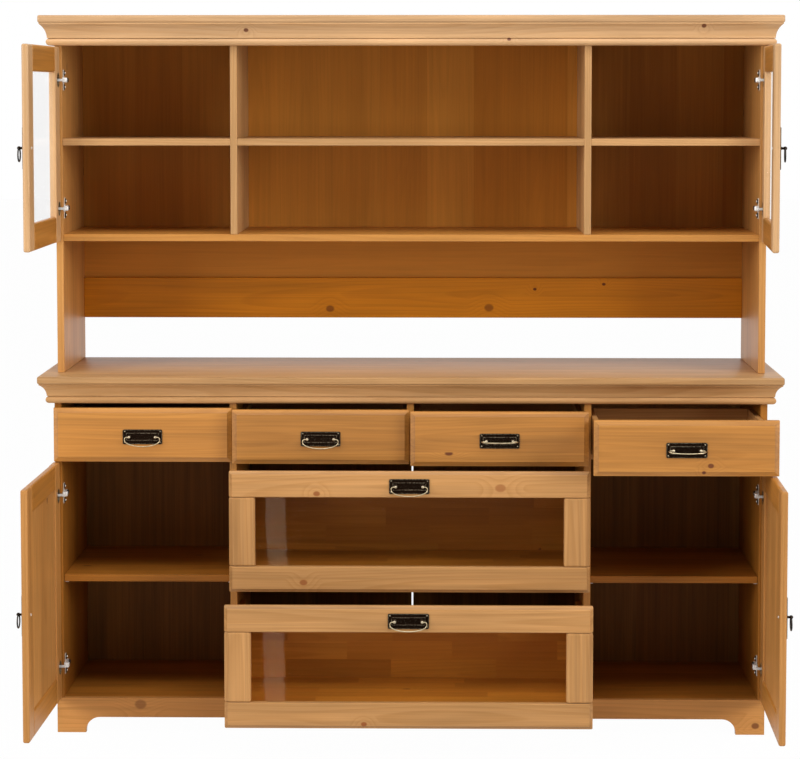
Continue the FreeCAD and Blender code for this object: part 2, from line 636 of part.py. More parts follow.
hinge_arms = []
DOORS = (
    ("left_base_door", 1, "base_depth", FLOOR_TOP, "base_door_height", "door_panel_thick"),
    ("right_base_door", -1, "base_depth", FLOOR_TOP, "base_door_height", "door_panel_thick"),
    ("left_hutch_door", 1, "hutch_depth", HUTCH_FLOOR, "hutch_door_height", "glass_thick"),
    ("right_hutch_door", -1, "hutch_depth", HUTCH_FLOOR, "hutch_door_height", "glass_thick"))
for name, sign, depth, bottom, height, fill_thick in DOORS:
    pivot_x = f"({'-' if sign > 0 else ''}({HALF} - hinge_from_edge))"
    pivot_y = f"(-{depth} - front_standoff - hinge_from_back)"
    stand = (sign, pivot_x, pivot_y, bottom, name + "_angle")
    x = mirrored(sign, "-hinge_from_edge", "door_width - hinge_from_edge")
    frame, fill = framed_front(name, x, ("0", height), "door_thick", "hinge_from_back", fill_thick, True)
    heights = ("hinge_inset", f"{height} - hinge_inset")
    hinge_stile = frame[0] if sign > 0 else frame[1]
    centre = f"{'' if sign > 0 else '-'}(cup_from_edge - hinge_from_edge)"
    holes = [rod(f"{name}_hole_{n}", "cup_radius", "cup_depth", centre, "hinge_from_back - cup_depth",
                 at, "Y")
             for n, at in enumerate(heights)]
    bored = cut(name + "_bored", hinge_stile, holes)
    boards = [bored if bar is hinge_stile else bar for bar in frame]
    if "hutch" in name:
        swing(group(name + "_frame", boards), *stand)
        swing(group(name + "_glass", [fill]), *stand)
    else:
        swing(group(name + "_frame", boards + [fill]), *stand)
    cups = [hinge_cup(f"{name}_cup_{n}", sign, at) for n, at in enumerate(heights)]
    swing(group(name + "_hinge_cups", cups), *stand)
    for n, at in enumerate(heights):
        hinge_arms.append(hinge_arm(f"{name}_arm_{n}", sign, pivot_x, pivot_y, f"({bottom} + {at})"))
    pull_x = f"{'' if sign > 0 else '-'}(door_width - hinge_from_edge - frame_width / 2)"
    pull_y = "(hinge_from_back - door_thick)"
    pull_z = f"({height} / 2)"
    swing(group(name + "_pull_plate", [ring_plate(name + "_ring_plate", pull_x, pull_y, pull_z)]), *stand)
    swing(group(name + "_ring", [ring(name, pull_x, pull_y, pull_z)]), *stand)
group("hinge_arms", hinge_arms)

doc.recompute()
for thing in doc.Objects:
    if "Invalid" in thing.State or "Error" in thing.State:
        raise RuntimeError(f"{thing.Name} failed: {thing.State}")
for thing in nodes:
    if thing.Shape.isNull() or not thing.Shape.isValid() or not thing.Shape.Solids:
        raise RuntimeError(f"{thing.Label} has no sound shape")
os.makedirs("parts", exist_ok=True)
for thing in nodes:
    thing.Shape.exportStep(f"parts/{thing.Label}.step")
    print(thing.Label, len(thing.Shape.Solids), round(thing.Shape.Volume))
print(len(nodes), "nodes")
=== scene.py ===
"""Pine dresser with a glazed hutch: fine shapes, finishes and a plain studio.

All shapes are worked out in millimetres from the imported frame, and each piece rides the body of the
CAD node that it stands for. X runs to the right, Y to the back and Z up.
"""
import json
import logging
import math
from dataclasses import dataclass
from enum import Enum
from functools import cached_property

import bmesh
import bpy
import numpy as np
from mathutils.geometry import tessellate_polygon
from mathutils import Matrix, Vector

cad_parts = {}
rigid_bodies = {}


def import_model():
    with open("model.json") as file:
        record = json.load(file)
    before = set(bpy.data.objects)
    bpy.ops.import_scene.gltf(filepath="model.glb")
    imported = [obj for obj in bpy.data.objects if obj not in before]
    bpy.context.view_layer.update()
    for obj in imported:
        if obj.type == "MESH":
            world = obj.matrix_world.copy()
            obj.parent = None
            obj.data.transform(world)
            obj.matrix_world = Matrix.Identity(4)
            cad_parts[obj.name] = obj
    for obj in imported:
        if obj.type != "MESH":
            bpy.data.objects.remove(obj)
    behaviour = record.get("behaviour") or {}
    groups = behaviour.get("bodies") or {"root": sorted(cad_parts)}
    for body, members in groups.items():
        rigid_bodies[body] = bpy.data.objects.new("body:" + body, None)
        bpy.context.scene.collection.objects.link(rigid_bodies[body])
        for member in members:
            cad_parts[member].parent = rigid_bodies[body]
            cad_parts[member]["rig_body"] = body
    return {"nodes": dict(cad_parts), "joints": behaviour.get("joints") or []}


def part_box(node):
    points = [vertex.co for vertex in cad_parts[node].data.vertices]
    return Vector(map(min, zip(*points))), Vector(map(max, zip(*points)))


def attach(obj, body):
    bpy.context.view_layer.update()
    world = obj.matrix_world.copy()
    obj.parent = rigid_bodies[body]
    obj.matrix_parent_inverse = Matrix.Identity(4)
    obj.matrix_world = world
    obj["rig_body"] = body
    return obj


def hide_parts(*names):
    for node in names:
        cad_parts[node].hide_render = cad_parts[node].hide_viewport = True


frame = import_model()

Array = np.ndarray
Material = bpy.types.Material
Node = bpy.types.Node
Socket = bpy.types.NodeSocket
Tree = bpy.types.NodeTree

LOG = logging.getLogger("dresser")
RANDOM = np.random.default_rng(41)
MM = 0.001
PANE_ARRIS = 0.5
SHARP_ANGLE = math.radians(35)
CORNER_STEPS = 4
# Wider in mm than any board, for wood that is one solid stave.
WHOLE_BOARD = 5000.0
KNOTS = ("knot_1", "knot_2", "knot_3", "knot_4")


class Axis(Enum):
    """A direction of the shared frame."""

    X = 0
    Y = 1
    Z = 2


class Slot(Enum):
    """The record's material slots."""

    PINE = "pine"
    BACK = "back_sheet"
    GLASS = "clear_glass"
    PLATE = "plate_bronze"
    BAIL = "bail_brass"
    HINGE = "hinge_nickel"


class Shade(Enum):
    """How a piece's faces are shaded."""

    FLAT = 0
    ROUNDED = 1


@dataclass(frozen=True)
class Knot:
    """A knot at a chosen place of a board.

    Attributes:
        x: its place to the right in mm.
        z: its place upwards in mm.
        radius: of its heart in mm.
    """

    x: float
    z: float
    radius: float


@dataclass
class Patch:
    """A closed surface in millimetres that carries the wood's own coordinates.

    Attributes:
        points: corner places, one row each.
        quads: four corner numbers for each face.
        caps: corner numbers of the faces with another count of corners.
        grain: for each corner, millimetres along, across and through the wood.
        tone: for each corner, how much lighter or darker its board is than the mean.
        knots: for each corner, where its board's knots are along and across the wood, and their radii.
    """

    points: Array
    quads: Array
    caps: list[Array]
    grain: Array
    tone: Array
    knots: Array

    @classmethod
    def bare(cls, points: Array, quads: Array, caps: list[Array]) -> "Patch":
        """A patch without wood coordinates, whose knots are too far away to show."""
        far = np.tile((1e6, 1e6, 1.0), (len(points), len(KNOTS), 1))
        return cls(points, quads, caps, np.zeros_like(points), np.zeros(len(points)), far)

    def turned(self, pivot: Array, matrix: Array) -> "Patch":
        """The same patch with its corners turned about a point by a rotation matrix."""
        self.points = (self.points - pivot) @ matrix.T + pivot
        return self


def rotation(axis: Axis, degrees: float) -> Array:
    """The matrix of a turn about one of the frame's axes.

    Args:
        axis: the axis to turn about.
        degrees: the angle, right-handed.

    Returns:
        A 3 by 3 matrix.
    """
    first, second = (axis.value + 1) % 3, (axis.value + 2) % 3
    angle = math.radians(degrees)
    matrix = np.eye(3)
    matrix[first, first] = matrix[second, second] = math.cos(angle)
    matrix[second, first] = math.sin(angle)
    matrix[first, second] = -math.sin(angle)
    return matrix


def loft(rings: Array, looped: bool = False) -> Patch:
    """Skins a stack of closed rings: face (i, j) joins rings i and i + 1 between their points j and j + 1.

    Args:
        rings: places by ring, point and coordinate.
        looped: whether the last ring joins the first one; otherwise both ends are capped.

    Returns:
        A closed patch without wood coordinates.
    """
    count, around, _ = rings.shape
    index = np.arange(count * around).reshape(count, around)
    rows = np.vstack([index, index[:1]]) if looped else index
    ahead = np.roll(rows, -1, axis=1)
    quads = np.stack([rows[:-1], ahead[:-1], ahead[1:], rows[1:]], axis=-1).reshape(-1, 4)
    caps = [] if looped else [index[0, ::-1], index[-1]]
    return Patch.bare(rings.reshape(-1, 3).astype(float), quads, caps)


def joined(patches: list[Patch]) -> Patch:
    """Puts patches into one, each still a closed surface of its own."""
    starts = np.cumsum([0] + [len(patch.points) for patch in patches[:-1]])
    return Patch(
        np.vstack([patch.points for patch in patches]),
        np.vstack([patch.quads + start for patch, start in zip(patches, starts)]),
        [cap + start for patch, start in zip(patches, starts) for cap in patch.caps],
        np.vstack([patch.grain for patch in patches]),
        np.concatenate([patch.tone for patch in patches]),
        np.vstack([patch.knots for patch in patches]))


def grained(patch: Patch, along: Axis, across: Axis, tone: float | None = None,
            knots: tuple[Knot, ...] = ()) -> Patch:
    """Gives a patch the coordinates of the board it was cut from, with a random place along the tree.

    Args:
        patch: the board's surface, still square to the frame.
        along: the direction of the fibres.
        across: the direction of the board's width.
        tone: lighter above 0 and darker below; random when left out.
        knots: the knots of its front, at most as many as KNOTS.

    Returns:
        The patch itself.
    """
    order = [along.value, across.value, 3 - along.value - across.value]
    middle = (patch.points.min(axis=0) + patch.points.max(axis=0)) / 2
    start = RANDOM.uniform((-4000, -25, -15), (4000, 25, 15))
    patch.grain = (patch.points - middle)[:, order] + start
    patch.tone = np.full(len(patch.points), RANDOM.normal(0, 0.35) if tone is None else tone)
    for number, knot in enumerate(knots):
        spot = (np.array((knot.x, 0, knot.z)) - middle)[order] + start
        patch.knots[:, number] = (spot[0], spot[1], knot.radius)
    return patch


@dataclass
class Board:
    """A squared board with rounded arrises.

    Attributes:
        low: its lowest corner.
        high: its highest corner.
        along: the direction of its grain.
        arris: the radius of its rounded edges.
        tone: lighter or darker than the mean, or None for a random one.
        knots: the knots of its front.
    """

    low: Array
    high: Array
    along: Axis
    arris: float = 1.5
    tone: float | None = None
    knots: tuple[Knot, ...] = ()

    def patch(self) -> Patch:
        """The board's surface.

        A grid of longitude and latitude on a small ball is parted at its octants, and each octant moves
        out to a corner of the board: place = side * (half size - arris) + arris * direction.

        Returns:
            A closed patch with its wood coordinates.
        """
        low, high = np.asarray(self.low, float), np.asarray(self.high, float)
        half = (high - low) / 2
        arris = min(self.arris, 0.9 * half.min())
        thin = int(np.argmin(half))
        order = [(thin + 1) % 3, (thin + 2) % 3, thin]
        quarter = np.radians((0, 30, 60, 90))
        longitude = (quarter + np.radians((0, 90, 180, 270))[:, None]).ravel()
        rise = np.radians((0, 30, 60, 85))
        latitude = np.concatenate([-rise[::-1], rise])[:, None]
        ball = np.stack([np.cos(latitude) * np.cos(longitude), np.cos(latitude) * np.sin(longitude),
                         np.sin(latitude) * np.ones_like(longitude)], axis=-1)
        side = np.ones_like(ball)
        side[..., 0] = np.repeat((1, -1, -1, 1), 4)
        side[..., 1] = np.repeat((1, 1, -1, -1), 4)
        side[..., 2] = np.repeat((-1, 1), 4)[:, None]
        rings = np.empty_like(ball)
        rings[..., order] = side * (half[order] - arris) + arris * ball
        rest = [axis for axis in range(3) if axis != self.along.value]
        across = Axis(max(rest, key=lambda axis: half[axis]))
        return grained(loft(rings + (low + high) / 2), self.along, across, self.tone, self.knots)


def boxed(node: str) -> tuple[Array, Array]:
    """The lowest and highest corner of a CAD node in millimetres."""
    low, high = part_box(node)
    return np.array(low) / MM, np.array(high) / MM


def rear_middle(low: Array, high: Array) -> Array:
    """The middle of the rear face of a box."""
    return np.array([(low[0] + high[0]) / 2, high[1], (low[2] + high[2]) / 2])


def boxes_of(node: str) -> Array:
    """The boxes of a CAD node's plain boards, whose meshes have 24 corners each.

    Args:
        node: a node that holds nothing but squared boards.

    Returns:
        Lowest and highest corners by board.
    """
    mesh = frame["nodes"][node].data
    flat = np.empty(len(mesh.vertices) * 3)
    mesh.vertices.foreach_get("co", flat)
    corners = flat.reshape(-1, 24, 3) / MM
    return np.stack([corners.min(axis=1), corners.max(axis=1)], axis=1)


def joint_of(child: str) -> dict:
    """The joint that moves a body."""
    return next(joint for joint in frame["joints"] if joint["child"] == child)


def linked(name: str, data: bpy.types.ID) -> bpy.types.Object:
    """A new object of the scene, at the origin."""
    thing = bpy.data.objects.new(name, data)
    bpy.context.scene.collection.objects.link(thing)
    return thing


def make_piece(name: str, patches: list[Patch], finish: "Finish", shade: Shade = Shade.FLAT,
               body: str | None = None) -> None:
    """Makes one object of the part from patches.

    Args:
        name: its name, that of the CAD node it stands for; a prefix tells the two apart.
        patches: its closed surfaces.
        finish: its finish.
        shade: flat faces, or rounded ones with sharp arrises.
        body: for an added piece that stands for no node, the body that it rides.
    """
    whole = joined(patches)
    mesh = bpy.data.meshes.new(name)
    faces = whole.quads.tolist() + [cap.tolist() for cap in whole.caps]
    mesh.from_pydata((whole.points * MM).tolist(), [], faces)
    skin = bmesh.new()
    skin.from_mesh(mesh)
    bmesh.ops.recalc_face_normals(skin, faces=skin.faces)
    skin.to_mesh(mesh)
    skin.free()
    mesh.attributes.new("grain", "FLOAT_VECTOR", "POINT").data.foreach_set("vector", whole.grain.ravel())
    mesh.attributes.new("tone", "FLOAT", "POINT").data.foreach_set("value", whole.tone)
    for number, attribute in enumerate(KNOTS):
        spots = mesh.attributes.new(attribute, "FLOAT_VECTOR", "POINT").data
        spots.foreach_set("vector", whole.knots[:, number].ravel())
    if shade is Shade.ROUNDED:
        mesh.shade_smooth()
        mesh.set_sharp_from_angle(angle=SHARP_ANGLE)
    mesh.materials.append(finish.material)
    thing = linked("dressed_" + name, mesh)
    nodes = [] if body else [name]
    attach(thing, body or frame["nodes"][name]["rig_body"])
    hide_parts(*nodes)
    LOG.info("%s: %d faces", name, len(faces))


def linear(code: str) -> tuple[float, float, float, float]:
    """An sRGB hex colour as linear red, green, blue and alpha."""
    channels = np.array([int(code[at:at + 2], 16) for at in (0, 2, 4)]) / 255
    values = np.where(channels <= 0.04045, channels / 12.92, ((channels + 0.055) / 1.055) ** 2.4)
    return (*values.tolist(), 1.0)


def add(tree: Tree, kind: str, inputs: dict | None = None, **settings) -> Node:
    """Adds a node, sets its properties, and feeds its inputs with values or other nodes' outputs.

    Args:
        tree: the material's or world's node tree.
        kind: the node type's name after "ShaderNode".
        inputs: by input name or number, a value, an output socket, or a node for its first output.
        settings: the node's own properties.

    Returns:
        The new node.
    """
    node = tree.nodes.new("ShaderNode" + kind)
    for key, value in settings.items():
        setattr(node, key, value)
    for key, value in (inputs or {}).items():
        source = value.outputs[0] if isinstance(value, Node) else value
        if isinstance(source, Socket):
            tree.links.new(source, node.inputs[key])
        else:
            node.inputs[key].default_value = value
    return node


def blank(name: str) -> tuple[Material, Tree]:
    """A new material with an empty node tree."""
    material = bpy.data.materials.new(name)
    material.use_nodes = True
    material.node_tree.nodes.clear()
    return material, material.node_tree


@dataclass(frozen=True)
class Pine:
    """Waxed honey-coloured Scots pine, planed and sanded.

    Soft spring wood between darker autumn rings, a few brown knots, and a thin satin wax. Boards glued up
    from staves change colour and figure at each glue line, and at each finger joint of short blocks.

    Attributes:
        name: the material's name.
        spring: colour of the soft wood between the rings.
        autumn: colour of the hard ring lines.
        ruddy: colour that some staves lean to.
        knot: colour of the knots' hearts.
        stave: width of the glued staves in mm, or 0 for one solid board.
        block: length of the blocks in a stave in mm, or 0 for whole staves.
        ring: distance of the ring lines in mm, drawn wider than in the tree so that it shows.
        contrast: how strongly the rings show.
        knots: share of the knot cells that hold a knot.
        roughness: of the waxed surface.
        gloss: strength of its gleam, 0.5 for a full wax.
        stave_share: how much the staves differ in lightness.
    """

    name: str
    spring: str = "c2843b"
    autumn: str = "9f6522"
    ruddy: str = "b97a34"
    knot: str = "5a2308"
    stave: float = 0.0
    block: float = 0.0
    ring: float = 6.5
    contrast: float = 0.36
    knots: float = 0.05
    roughness: float = 0.4
    gloss: float = 0.5
    stave_share: float = 0.14

    def material(self) -> Material:
        """Builds the node tree: staves, a warp, rings about a pith, fibres, blotches and knots."""
        material, tree = blank(self.name)
        place = add(tree, "Attribute", attribute_name="grain").outputs["Vector"]
        parts = add(tree, "SeparateXYZ", {0: place})
        stave = add(tree, "Math", {0: parts.outputs[1], 1: self.stave or WHOLE_BOARD}, operation="DIVIDE")
        stave = add(tree, "Math", {0: stave, 1: 0.5}, operation="ADD")
        number = add(tree, "Math", {0: stave}, operation="FLOOR")
        chance = self.chances(tree, parts.outputs[0], number.outputs[0])
        jump = add(tree, "VectorMath", {0: chance.outputs["Color"], 1: (2600.0, 0.0, 40.0)},
                   operation="MULTIPLY")
        moved = add(tree, "VectorMath", {0: place, 1: jump}, operation="ADD").outputs[0]
        bend = self.stretched(tree, moved, 900, 130, 1.0)
        bend_parts = add(tree, "SeparateColor", {0: bend.outputs["Color"]})
        knot, pull = self.knot_masks(tree, moved, place)
        rings = self.ring_lines(tree, moved, number.outputs[0], bend_parts, pull)
        fibre = self.stretched(tree, moved, 190, 2.4, 2.0)
        streak = self.stretched(tree, moved, 700, 11, 2.0)
        blotch = self.stretched(tree, moved, 300, 55, 2.0)
        wood = add(tree, "Mix", {0: chance.outputs["Value"], 6: linear(self.spring), 7: linear(self.ruddy)},
                   data_type="RGBA")
        wood = add(tree, "Mix", {0: rings, 6: wood.outputs[2], 7: linear(self.autumn)}, data_type="RGBA")
        light = self.lightness(tree, chance.outputs["Color"],
                               ((fibre, 0.32), (streak, 0.44), (blotch, 0.4)))
        wood = add(tree, "VectorMath", {0: wood.outputs[2], 1: light}, operation="MULTIPLY")
        wood = add(tree, "Mix", {0: knot, 6: wood, 7: linear(self.knot)}, data_type="RGBA")
        shader = add(tree, "BsdfPrincipled", {"Base Color": wood.outputs[2], "Roughness": self.roughness,
                                              "IOR": 1.45, "Specular IOR Level": self.gloss})
        add(tree, "OutputMaterial", {0: shader})
        return material

    def chances(self, tree: Tree, along: Socket,
                number: Socket) -> Node:
        """A random value and colour for each stave, or for each block where the staves are jointed.

        Args:
            tree: the material's tree.
            along: millimetres along the board.
            number: which stave this is.

        Returns:
            A white noise node.
        """
        stave = add(tree, "TexWhiteNoise", {"W": number}, noise_dimensions="1D")
        if not self.block:
            return stave
        step = add(tree, "Math", {0: along, 1: self.block}, operation="DIVIDE")
        step = add(tree, "Math", {0: step, 1: stave.outputs["Value"]}, operation="ADD")
        step = add(tree, "Math", {0: step}, operation="FLOOR")
        count = add(tree, "Math", {0: step, 1: 57.0, 2: number}, operation="MULTIPLY_ADD")
        return add(tree, "TexWhiteNoise", {"W": count}, noise_dimensions="1D")

    def stretched(self, tree: Tree, place: Socket, long: float, wide: float,
                  detail: float) -> Node:
        """Noise whose spots are so many millimetres long and wide."""
        scaled = add(tree, "VectorMath", {0: place, 1: (1 / long, 1 / wide, 1 / wide)}, operation="MULTIPLY")
        return add(tree, "TexNoise", {"Vector": scaled, "Scale": 1.0, "Detail": detail})

    def knot_masks(self, tree: Tree, moved: Socket,
                   place: Socket) -> tuple[Socket, Socket]:
        """One possible pin knot in each cell of 230 by 120 mm, and the knots that the board carries.

        Args:
            tree: the material's tree.
            moved: wood coordinates, moved by stave.
            place: the board's own wood coordinates.

        Returns:
            The mask of the dark knot, and how far the rings about it are pulled round it.
        """
        scaled = add(tree, "VectorMath", {0: moved, 1: (1 / 230, 1 / 120, 0.0)}, operation="MULTIPLY")
        cell = add(tree, "TexVoronoi", {"Vector": scaled, "Scale": 1.0}, voronoi_dimensions="2D")
        chance = add(tree, "SeparateColor", {0: cell.outputs["Color"]})
        none = add(tree, "Math", {0: chance, 1: self.knots}, operation="GREATER_THAN")
        near = add(tree, "Math", {0: cell.outputs["Distance"], 1: 22.0}, operation="MULTIPLY")
        near = add(tree, "Math", {0: none, 1: 1e3, 2: near}, operation="MULTIPLY_ADD")
        heart = add(tree, "MapRange", {0: near, 1: 0.7, 2: 1.15, 3: 0.9, 4: 0.0})
        for name in KNOTS:
            spot = add(tree, "Attribute", attribute_name=name).outputs["Vector"]
            gap = add(tree, "VectorMath", {0: place, 1: spot}, operation="SUBTRACT")
            gap = add(tree, "VectorMath", {0: gap, 1: (0.8, 1.0, 0.0)}, operation="MULTIPLY")
            gap = add(tree, "VectorMath", {0: gap}, operation="LENGTH")
            radius = add(tree, "SeparateXYZ", {0: spot}).outputs[2]
            gap = add(tree, "Math", {0: gap.outputs["Value"], 1: radius}, operation="DIVIDE")
            near = add(tree, "Math", {0: near, 1: gap}, operation="MINIMUM")
            dark = add(tree, "MapRange", {0: radius, 1: 4.0, 2: 12.0, 3: 0.95, 4: 0.5})
            spot = add(tree, "MapRange", {0: gap, 1: 0.75, 2: 1.1, 3: dark, 4: 0.0})
            heart = add(tree, "Math", {0: heart, 1: spot}, operation="MAXIMUM")
        about = add(tree, "MapRange", {0: near, 1: 0.5, 2: 5.0, 3: 1.0, 4: 0.0},
                    interpolation_type="SMOOTHSTEP")
        return heart.outputs[0], about.outputs[0]

    def ring_lines(self, tree: Tree, place: Socket,
                   number: Socket, bend: Node,
                   pull: Socket) -> Socket:
        """Rings about a pith behind the board's face: phase = distance from the pith / ring width.

        Args:
            tree: the material's tree.
            place: wood coordinates.
            number: which stave this is.
            bend: three noises that wander along the board.
            pull: how far the rings go round a knot.

        Returns:
            How much of the autumn colour shows.
        """
        parts = add(tree, "SeparateXYZ", {0: place})
        start = add(tree, "Math", {0: number, 1: self.stave or WHOLE_BOARD}, operation="MULTIPLY")
        across = add(tree, "Math", {0: parts.outputs[1], 1: start}, operation="SUBTRACT")
        across = add(tree, "Math", {0: bend, 1: 26.0, 2: across},
                     operation="MULTIPLY_ADD")
        depth = add(tree, "Math", {0: bend.outputs[1], 1: 64.0, 2: parts.outputs[2]},
                    operation="MULTIPLY_ADD")
        arm = add(tree, "CombineXYZ", {0: across, 1: depth})
        radius = add(tree, "VectorMath", {0: arm}, operation="LENGTH")
        phase = add(tree, "Math", {0: radius.outputs["Value"], 1: self.ring}, operation="DIVIDE")
        phase = add(tree, "Math", {0: pull, 1: 2.2, 2: phase}, operation="MULTIPLY_ADD")
        tooth = add(tree, "Math", {0: phase}, operation="FRACT")
        ramp = add(tree, "ValToRGB", {0: tooth})
        stops = ramp.color_ramp.elements
        stops[0].color = (0, 0, 0, 1)
        stops[1].color = (0, 0, 0, 1)
        for at, value in ((0.45, 0.25), (0.86, 1.0), (0.95, 0.6)):
            stops.new(at).color = (value, value, value, 1)
        lines = add(tree, "Math", {0: ramp, 1: self.contrast}, operation="MULTIPLY")
        return lines.outputs[0]

    def lightness(self, tree: Tree, chance: Socket,
                  noises: tuple[tuple[Node, float], ...]) -> Socket:
        """One factor for the colour, about 1: the shares of the board, the stave and the noises.

        Args:
            tree: the material's tree.
            chance: a random colour for each stave.
            noises: noise nodes with their shares.

        Returns:
            The factor's socket.
        """
        tone = add(tree, "Attribute", attribute_name="tone").outputs["Fac"]
        stave = add(tree, "SeparateColor", {0: chance}).outputs[1]
        share_sum = self.stave_share + sum(share for _, share in noises)
        total = add(tree, "Math", {0: tone, 1: 0.12, 2: 1 - share_sum / 2}, operation="MULTIPLY_ADD")
        total = add(tree, "Math", {0: stave, 1: self.stave_share, 2: total},
                    operation="MULTIPLY_ADD")
        for noise, share in noises:
            total = add(tree, "Math", {0: noise, 1: share, 2: total},
                        operation="MULTIPLY_ADD")
        return total.outputs[0]


@dataclass(frozen=True)
class ClearGlass:
    """Clear float glass with polished faces, 4 mm thick: it shows what is behind and a faint gleam."""

    name: str = "clear float glass"

    def material(self) -> Material:
        """A smooth dielectric, thin enough that part of the light goes straight through."""
        material, tree = blank(self.name)
        shader = add(tree, "BsdfPrincipled", {"Base Color": linear("fdfefd"), "Roughness": 0.0, "IOR": 1.46,
                                              "Transmission Weight": 1.0, "Alpha": 0.08})
        add(tree, "OutputMaterial", {0: shader})
        return material


@dataclass(frozen=True)
class AgedMetal:
    """Cast or drawn metal with rubbed high spots and a dull film elsewhere.

    Attributes:
        name: the material's name.
        bright: colour where it is rubbed.
        dull: colour of the film.
        film: mean share of the surface under the film, over 1 where it is thick; tone takes it away.
        spot: size of the film's spots in mm.
        roughness: of the metal.
        metal: 1 for bare metal; less gives part of the colour as a plain diffuse one, which on the nickel is
            a painted gleam.
    """

    name: str
    bright: str
    dull: str
    film: float
    spot: float
    roughness: float
    metal: float = 1.0

    def material(self) -> Material:
        """Two colours of metal mixed by noise on the object's own coordinates."""
        material, tree = blank(self.name)
        place = add(tree, "TexCoord").outputs["Object"]
        spots = add(tree, "TexNoise", {"Vector": place, "Scale": 1 / (self.spot * MM), "Detail": 4.0})
        share = add(tree, "MapRange", {0: spots, 1: 0.35, 2: 0.65, 3: self.film - 0.2,
                                       4: self.film + 0.2})
        tone = add(tree, "Attribute", attribute_name="tone").outputs["Fac"]
        share = add(tree, "Math", {0: share, 1: tone}, operation="SUBTRACT", use_clamp=True)
        colour = add(tree, "Mix", {0: share, 6: linear(self.bright), 7: linear(self.dull)},
                     data_type="RGBA")
        shader = add(tree, "BsdfPrincipled", {"Base Color": colour.outputs[2], "Metallic": self.metal,
                                              "Roughness": self.roughness})
        add(tree, "OutputMaterial", {0: shader})
        return material


class Finish(Enum):
    """The dresser's finishes, each made into a material when it is first used."""

    # The lightest boards: the crown, and the stiles of the hutch doors.
    BLOND = Pine("waxed blond pine", spring="cda475", autumn="ad7f4c", ruddy="c4986a")
    # Light boards in one width: the glass drawers' fronts, the plain drawers' boxes and the runners.
    PALE = Pine("waxed pale pine board", spring="bd8d58", autumn="9e6c36", ruddy="b5834e", knot="85431a",
                gloss=0.25)
    # The worktop, and the hutch's dividers and shelves.
    PALE_STAVES = Pine("waxed pale pine glued from staves", spring="bc9060", autumn="9d6f3d", ruddy="b48656",
                       stave=92.0, gloss=0.2)
    # The base doors' stiles and panels, the hutch sides and the plinth.
    GOLDEN = Pine("waxed golden pine glued from staves", spring="c0894c", autumn="a1692e", ruddy="b87f43",
                  stave=92.0, gloss=0.25)
    # The plain drawers' fronts, the doors' rails, the hutch floor and the base's dividers.
    HONEY = Pine("waxed honey pine glued from staves", spring="bd813a", autumn="9b6221", ruddy="b37632",
                 stave=92.0)
    # The rail at the foot of the hutch's back.
    AMBER = Pine("waxed amber pine", spring="cb8018", autumn="a8620e", ruddy="bf7614", gloss=0.2)
    # The base's sides, bottom and shelves, which gleam little.
    BROWN = Pine("thinly waxed pine glued from staves", spring="bd7a2e", autumn="985c1c", ruddy="ae6c24",
                 stave=92.0, gloss=0.2)
    # The glass drawers' boxes, glued up from short blocks.
    INNER = Pine("thinly waxed pine inside the drawers", spring="ae6e24", autumn="8a4f12", ruddy="92561a",
                 stave=46.0, block=260.0, gloss=0.2, stave_share=0.24)
    # The base's sheets are toned very dark with it as painted shade; the hutch's are toned lighter.
    BACK = Pine("stained pine back sheet", spring="a66e29", autumn="7f4b12", ruddy="965d1c", stave=120.0,
                knots=0.0, contrast=0.1, roughness=0.55, gloss=0.2)
    GLASS = ClearGlass()
    # The pulls' plates, posts and eyes.
    BRONZE = AgedMetal("antiqued bronze", "c4b79c", "21160f", 1.12, 2.5, 0.4)
    # The bails.
    BRASS = AgedMetal("aged brass wire", "d6c8a6", "7d6c50", 0.3, 5.0, 0.32)
    # The rings, the dark screws of the hinges, and the dark collars round the hinges' plate screws, which are
    # painted shade.
    BLACK = AgedMetal("blackened steel", "6e6861", "14110f", 0.7, 4.0, 0.35)
    # The hinges' arms and cranks, the screws inside the doors, and the shelf pins; its low metal share makes
    # it a near-white diffuse surface, a painted gleam.
    NICKEL = AgedMetal("satin nickel-plated steel", "f4f2ee", "cbc8c2", 0.3, 8.0, 0.28, 0.3)
    # The hinges' cups in the doors.
    CUP_STEEL = AgedMetal("dulled hinge steel", "a89376", "6b5a45", 0.5, 3.0, 0.4)

    @cached_property
    def material(self) -> Material:
        """The finish's material."""
        return self.value.material()


